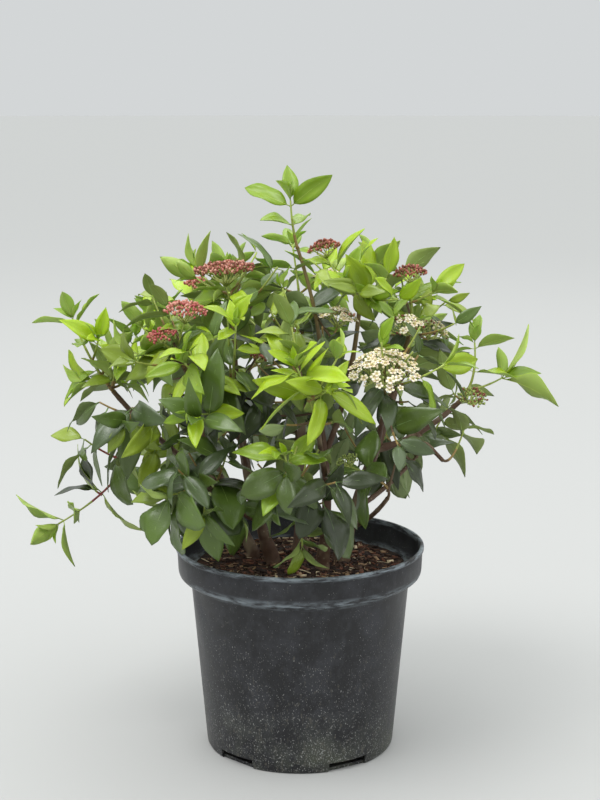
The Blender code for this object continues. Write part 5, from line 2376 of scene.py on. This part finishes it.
@dataclass
class NurseryPot:
    """The round pot: a spun wall with lip, groove, band, shoulder, rounded foot and slots."""

    height: float = 158 * MM
    rim_radius: float = 95 * MM
    base_radius: float = 72.5 * MM
    shoulder_radius: float = 83.5 * MM
    band_height: float = 23 * MM
    lip_height: float = 3 * MM
    lip_proud: float = 0.9 * MM
    shoulder_drop: float = 7 * MM
    wall: float = 1.8 * MM
    floor: float = 2.5 * MM
    base_chamfer: float = 3 * MM
    steps: int = 144
    slots: int = 5
    slot_turn: float = math.radians(-60)
    slot_width: float = 32 * MM
    slot_height: float = 7.0 * MM
    slot_depth: float = 9 * MM
    sharp_angle: float = math.radians(38)

    def inner_radius(self, height: float) -> float:
        """Radius of the inner wall, a wall inside the outer one.

        Args:
            height: The height over the ground.

        Returns:
            The radius.
        """
        shoulder_foot = self.height - self.band_height - self.shoulder_drop
        share = min(1.0, (height - self.floor) / (shoulder_foot - self.floor))
        return self.base_radius + share * (self.shoulder_radius - self.base_radius) - self.wall

    def profile(self) -> list:
        """The wall's section from the middle of the floor's inside round to its underside.

        Returns:
            Pairs of a radius and a height.
        """
        band_foot = self.height - self.band_height
        shoulder_foot = band_foot - self.shoulder_drop
        lip_foot = self.height - self.lip_height
        rim, wall, proud, chamfer = self.rim_radius, self.wall, self.lip_proud, self.base_chamfer
        band = rim - proud
        shoulder, base = self.shoulder_radius, self.base_radius
        inside = self.inner_radius(shoulder_foot)
        # Each row has a radius and a height to start from, the units of its steps, and its steps
        rows = (
            (0.0, self.floor, self.inner_radius(self.floor), 0.0, ((0, 0), (1, 0))),
            (inside, shoulder_foot, wall, wall, ((0, 1),)),
            (inside, band_foot, MM, MM, ((1.2, -1.2),)),
            (band, band_foot, wall, wall, ((-2.9, 1),)),
            (band, band_foot, wall, MM, ((-1.9, 4.0),)),
            (rim, self.height, wall, wall,
             ((-2.0, -2.0), (-1.7, -0.5), (-1.5, -0.1), (-1.2, 0), (-0.5, 0), (-0.15, -0.2),
              (0, -0.6))),
            (rim, lip_foot, wall, wall, ((0, 0.2), (-0.2, 0))),
            (band, lip_foot, proud, proud, ((-0.6, -0.4), (-0.7, -1.6), (-0.2, -2.6))),
            (band, band_foot, wall, MM,
             ((-0.4, 5.0), (-0.6, 2.6), (-1.0, 1.0), (-1.6, -0.1), (-2.4, -0.6))),
            (shoulder, band_foot, MM, MM, ((2.6, -1.2), (1.1, -2.4), (0.3, -4.2))),
            (shoulder, shoulder_foot, base - shoulder, chamfer - shoulder_foot,
             [(step / 10, step / 10) for step in range(10)]),
            (base, 0.0, chamfer, chamfer, ((0, 1), (-0.1, 0.55), (-0.3, 0.2), (-0.6, 0))),
            (0.0, 0.0, base, 0.0, ((0.5, 0), (0, 0))),
        )
        return [
            (radius + out * across, height + rise * up)
            for radius, height, across, up, steps in rows for out, rise in steps
        ]

    def spun_wall(self) -> bpy.types.Object:
        """Spin the section round Z and close it on the axis.

        Returns:
            The wall with its floor.
        """
        shape = bmesh.new()
        corners = [shape.verts.new((radius, 0.0, height)) for radius, height in self.profile()]
        edges = [shape.edges.new(pair) for pair in zip(corners, corners[1:])]
        bmesh.ops.spin(
            shape, geom=[*corners, *edges], axis=(0, 0, 1), cent=(0, 0, 0),
            steps=self.steps, angle=math.tau, use_merge=True,
        )
        bmesh.ops.remove_doubles(shape, verts=shape.verts[:], dist=0.01 * MM)
        bmesh.ops.recalc_face_normals(shape, faces=shape.faces[:])
        return object_of("nursery_pot", shape)

    def slot_cutter(self) -> bpy.types.Object:
        """The drain slots' blocks, as one object.

        Returns:
            The blocks.
        """
        shape = bmesh.new()
        for number in range(self.slots):
            angle = self.slot_turn + math.tau * number / self.slots
            matrix = Matrix.Rotation(angle, 4, "Z")
            matrix = matrix @ Matrix.Translation((self.base_radius, 0.0, 0.5 * self.slot_height))
            matrix = matrix @ Matrix.Diagonal(
                (self.slot_depth, self.slot_width, self.slot_height + 0.6 * MM, 1.0)
            )
            bmesh.ops.create_cube(shape, size=1.0, matrix=matrix)
        return object_of("drain_slots", shape)

    def build(self) -> None:
        """Make the pot, cut its slots and give it its finish."""
        pot = self.spun_wall()
        cutter = self.slot_cutter()
        cut = pot.modifiers.new("Slots", "BOOLEAN")
        cut.operation = "DIFFERENCE"
        cut.solver = "EXACT"
        cut.object = cutter
        graph = bpy.context.evaluated_depsgraph_get()
        mesh = bpy.data.meshes.new_from_object(pot.evaluated_get(graph))
        pot.modifiers.clear()
        pot.data = mesh
        bpy.data.objects.remove(cutter, do_unlink=True)
        mesh.materials.clear()
        mesh.materials.append(POLYPROPYLENE.material())
        mesh.shade_smooth()
        mesh.set_sharp_from_angle(angle=self.sharp_angle)
        handed_over(pot, ["pot"])


@dataclass
class Compost:
    """The compost: an uneven bed with bark flakes and fibres strewn over it."""

    level: float = 142 * MM
    floor: float = 2.8 * MM
    clearance: float = 0.8 * MM
    swell: float = 2.4 * MM
    settling: float = 1.6 * MM
    grid: int = 70
    flakes: int = 1500
    fibres: int = 420
    rim_room: float = 5 * MM
    flake_forms: int = 8
    fibre_points: int = 4
    fibre_sink: float = 0.3 * MM
    strewn_lean: float = 0.5
    seed: int = 5

    # How often each finish of flake falls, from dark to pale
    FINISHES = (CHIP_DARK, CHIP_BROWN, CHIP_RED, CHIP_TAN, CHIP_PALE)
    WEIGHTS = (30, 34, 22, 10, 4)
    # The bed's coarse and fine bumps: how many to a metre, their layer and their share
    BUMPS = ((38, 1.7, 0.75), (190, 4.1, 0.35))
    # Between which sizes a flake's corners stray, in shares of its length
    FLAKE_WIDTHS = (0.25, 0.6)
    FLAKE_PULLS = (0.6, 1.15)
    FLAKE_LENGTHS = (0.8, 1.1)
    FLAKE_DEPTHS = (0.12, 0.24)
    # Millimetres: the least, the greatest and the likeliest length, then plain ranges
    FLAKE_SIZES = (1.6, 8.5, 2.8)
    FIBRE_SIZES = (5, 14)
    FIBRE_RADII = (0.18, 0.42)
    HEIGHTS = (0.1, 0.9)
    # How steeply the strewn pieces point, and how a fibre bows aside and up
    SLOPES = (-0.25, 0.35)
    BOWS = (-0.3, 0.3)
    ARCHES = (0, 0.15)

    def height_at(self, flat_x: float, flat_y: float) -> float:
        """Height of the bed at a place in the pot.

        Args:
            flat_x: Its place to the right.
            flat_y: Its place to the back.

        Returns:
            The height.
        """
        rise = sum(
            share * noise.noise(Vector((flat_x * per_metre, flat_y * per_metre, layer)))
            for per_metre, layer, share in self.BUMPS
        )
        return self.level - self.settling + self.swell * rise

    def build_bed(self, pot: NurseryPot) -> None:
        """Make the bed: a grid rounded to the pot, its skirt let down to the pot's floor.

        Args:
            pot: The pot that it fills.
        """
        reach = pot.inner_radius(self.level) - self.clearance
        foot = pot.inner_radius(self.floor) - pot.slot_depth
        shape = bmesh.new()
        bmesh.ops.create_grid(shape, x_segments=self.grid, y_segments=self.grid, size=1.0)
        for corner in shape.verts:
            flat_x, flat_y, _ = corner.co
            round_x = reach * flat_x * math.sqrt(1.0 - 0.5 * flat_y * flat_y)
            round_y = reach * flat_y * math.sqrt(1.0 - 0.5 * flat_x * flat_x)
            corner.co = (round_x, round_y, self.height_at(round_x, round_y))
        rim = [edge for edge in shape.edges if edge.is_boundary]
        grown = bmesh.ops.extrude_edge_only(shape, edges=rim)["geom"]
        for corner in (part for part in grown if isinstance(part, bmesh.types.BMVert)):
            flat = Vector((corner.co.x, corner.co.y, 0.0)).normalized() * foot
            corner.co = (flat.x, flat.y, self.floor)
        bmesh.ops.contextual_create(
            shape, geom=[part for part in grown if isinstance(part, bmesh.types.BMEdge)]
        )
        bmesh.ops.recalc_face_normals(shape, faces=shape.faces[:])
        bed = object_of("compost_bed", shape, COMPOST)
        bed.data.shade_smooth()
        handed_over(bed, ["soil"])

    def flake_pattern(self, draw: random.Random) -> Pattern:
        """One broken flake of bark of unit length: a bevelled slab pulled out of true.

        Args:
            draw: The draws of its strays.

        Returns:
            The flake's pattern.
        """
        shape = bmesh.new()
        bmesh.ops.create_cube(shape, size=1.0)
        width = draw.uniform(*self.FLAKE_WIDTHS)
        for corner in shape.verts:
            pull = draw.uniform(*self.FLAKE_PULLS)
            corner.co = (corner.co.x * width * pull,
                         corner.co.y * draw.uniform(*self.FLAKE_LENGTHS),
                         corner.co.z * draw.uniform(*self.FLAKE_DEPTHS))
        return Pattern.from_shape(shape)

    def strew(self, reach: float) -> None:
        """Strew flakes and fibres over the bed, most of them lying nearly flat.

        Args:
            reach: How far from the middle they lie at the most.
        """
        draw = random.Random(self.seed)
        flakes = [self.flake_pattern(draw) for _ in range(self.flake_forms)]
        fibre = Pattern.from_shape(tube_shape(3, self.fibre_points))
        piece = JoinedPiece("bark_flakes", self.FINISHES)
        for number in range(self.flakes + self.fibres):
            distance = reach * math.sqrt(draw.random())
            angle = draw.uniform(0, math.tau)
            flat_x, flat_y = distance * math.cos(angle), distance * math.sin(angle)
            height = self.height_at(flat_x, flat_y) + draw.uniform(*self.HEIGHTS) * MM
            base = Vector((flat_x, flat_y, height))
            finish = draw.choices(self.FINISHES, self.WEIGHTS)[0]
            turn = draw.uniform(0, math.tau)
            heading = Vector((math.cos(turn), math.sin(turn), draw.uniform(*self.SLOPES)))
            heading.normalize()
            lean = self.strewn_lean
            face = UP + Vector((draw.uniform(-lean, lean), draw.uniform(-lean, lean), 0.0))
            face = (face - face.dot(heading) * heading).normalized()
            side = heading.cross(face)
            if number < self.flakes:
                pattern = draw.choice(flakes)
                size = draw.triangular(*self.FLAKE_SIZES) * MM
                piece.add(pattern.placed(base, side, heading, face, size), pattern, (finish,))
            else:
                length = draw.uniform(*self.FIBRE_SIZES) * MM
                bow = side * draw.uniform(*self.BOWS) * length
                bow = bow + UP * draw.uniform(*self.ARCHES) * length
                points = bent_line(base - 0.5 * length * heading, base + bow,
                                   base + 0.5 * length * heading, self.fibre_points)
                points[:, 2] = np.maximum(points[:, 2], height - self.fibre_sink)
                radii = np.full(self.fibre_points, draw.uniform(*self.FIBRE_RADII) * MM)
                piece.add(swept_places(fibre, points, radii), fibre, (finish,))
        piece.build("bark_compost", ())

    def build(self, pot: NurseryPot) -> None:
        """Make the bed and strew it."""
        self.build_bed(pot)
        self.strew(pot.inner_radius(self.level) - self.rim_room)


@dataclass
class Studio:
    """A pale floor, soft light and the camera at the photograph's place."""

    camera_pitch: float = 0.188
    lens: float = 72.0
    floor_radius: float = 40.0
    wall: float = 0.95
    horizon: float = 0.4
    zenith: float = 2.45
    sky: str = "#d8dbdc"
    aim_height: float = 0.25

    # Each lamp's name, place, size and power
    LAMPS = (
        ("key_lamp", (-1.0, -1.0, 2.6), 1.4, 36.0),
        ("fill_lamp", (1.9, -1.2, 1.5), 1.6, 4.0),
        ("back_lamp", (0.4, 2.2, 2.2), 1.8, 8.0),
    )

    def build_floor(self) -> None:
        """A broad round floor with its pale paper finish."""
        shape = bmesh.new()
        bmesh.ops.create_circle(shape, cap_ends=True, segments=96, radius=self.floor_radius)
        item = object_of("studio_floor", shape, STAGE)

    def build_light(self) -> None:
        """A sky brightest overhead, which the camera sees as an even wall, and soft lamps."""
        world = bpy.data.worlds.new("studio_sky")
        bpy.context.scene.world = world
        world.use_nodes = True
        sky = world.node_tree.nodes["Background"]
        sky.inputs["Color"].default_value = linear(self.sky)
        weave = Weave(world.node_tree)
        way = weave.node("TexCoord", {}, {}).outputs["Generated"]
        height = weave.node("SeparateXYZ", {}, {0: way}).outputs[2]
        light = weave.share(height, 0.0, 0.8, foot=self.horizon, top=self.zenith)
        seen = weave.node("LightPath", {}, {}).outputs["Is Camera Ray"]
        strength = weave.node("Mix", {3: self.wall}, {0: seen, 2: light}).outputs[0]
        world.node_tree.links.new(strength, sky.inputs["Strength"])
        for name, place, size, power in self.LAMPS:
            lamp = bpy.data.lights.new(name, "AREA")
            lamp.shape = "DISK"
            lamp.size = size
            lamp.energy = power
            item = in_scene(name, lamp)
            item.location = place
            aim = Vector((0.0, 0.0, self.aim_height)) - item.location
            item.rotation_euler = aim.to_track_quat("-Z", "Y").to_euler()

    def build_camera(self) -> None:
        """The camera as it stood for the photograph: a little above the plant's middle."""
        data = bpy.data.cameras.new("camera")
        data.sensor_fit = "AUTO"
        data.sensor_width = 36.0
        data.lens = self.lens
        camera = in_scene("camera", data)
        camera.location = EYE
        camera.rotation_euler = (0.5 * math.pi - self.camera_pitch, 0.0, 0.0)
        bpy.context.scene.camera = camera

    def build(self) -> None:
        """Make floor, light and camera."""
        bpy.context.scene.view_settings.view_transform = "Standard"
        self.build_floor()
        self.build_light()
        self.build_camera()


def main() -> None:
    """Build the studio, the pot with its compost, the limbs and the crown."""
    logging.basicConfig(level=logging.INFO, format="%(message)s")
    Studio().build()
    pot = NurseryPot()
    pot.build()
    Compost().build(pot)
    limbs = grow_limbs()
    BarkLimbs().build(limbs)
    Crown().build(limbs)


if __name__ == "__main__":
    main()
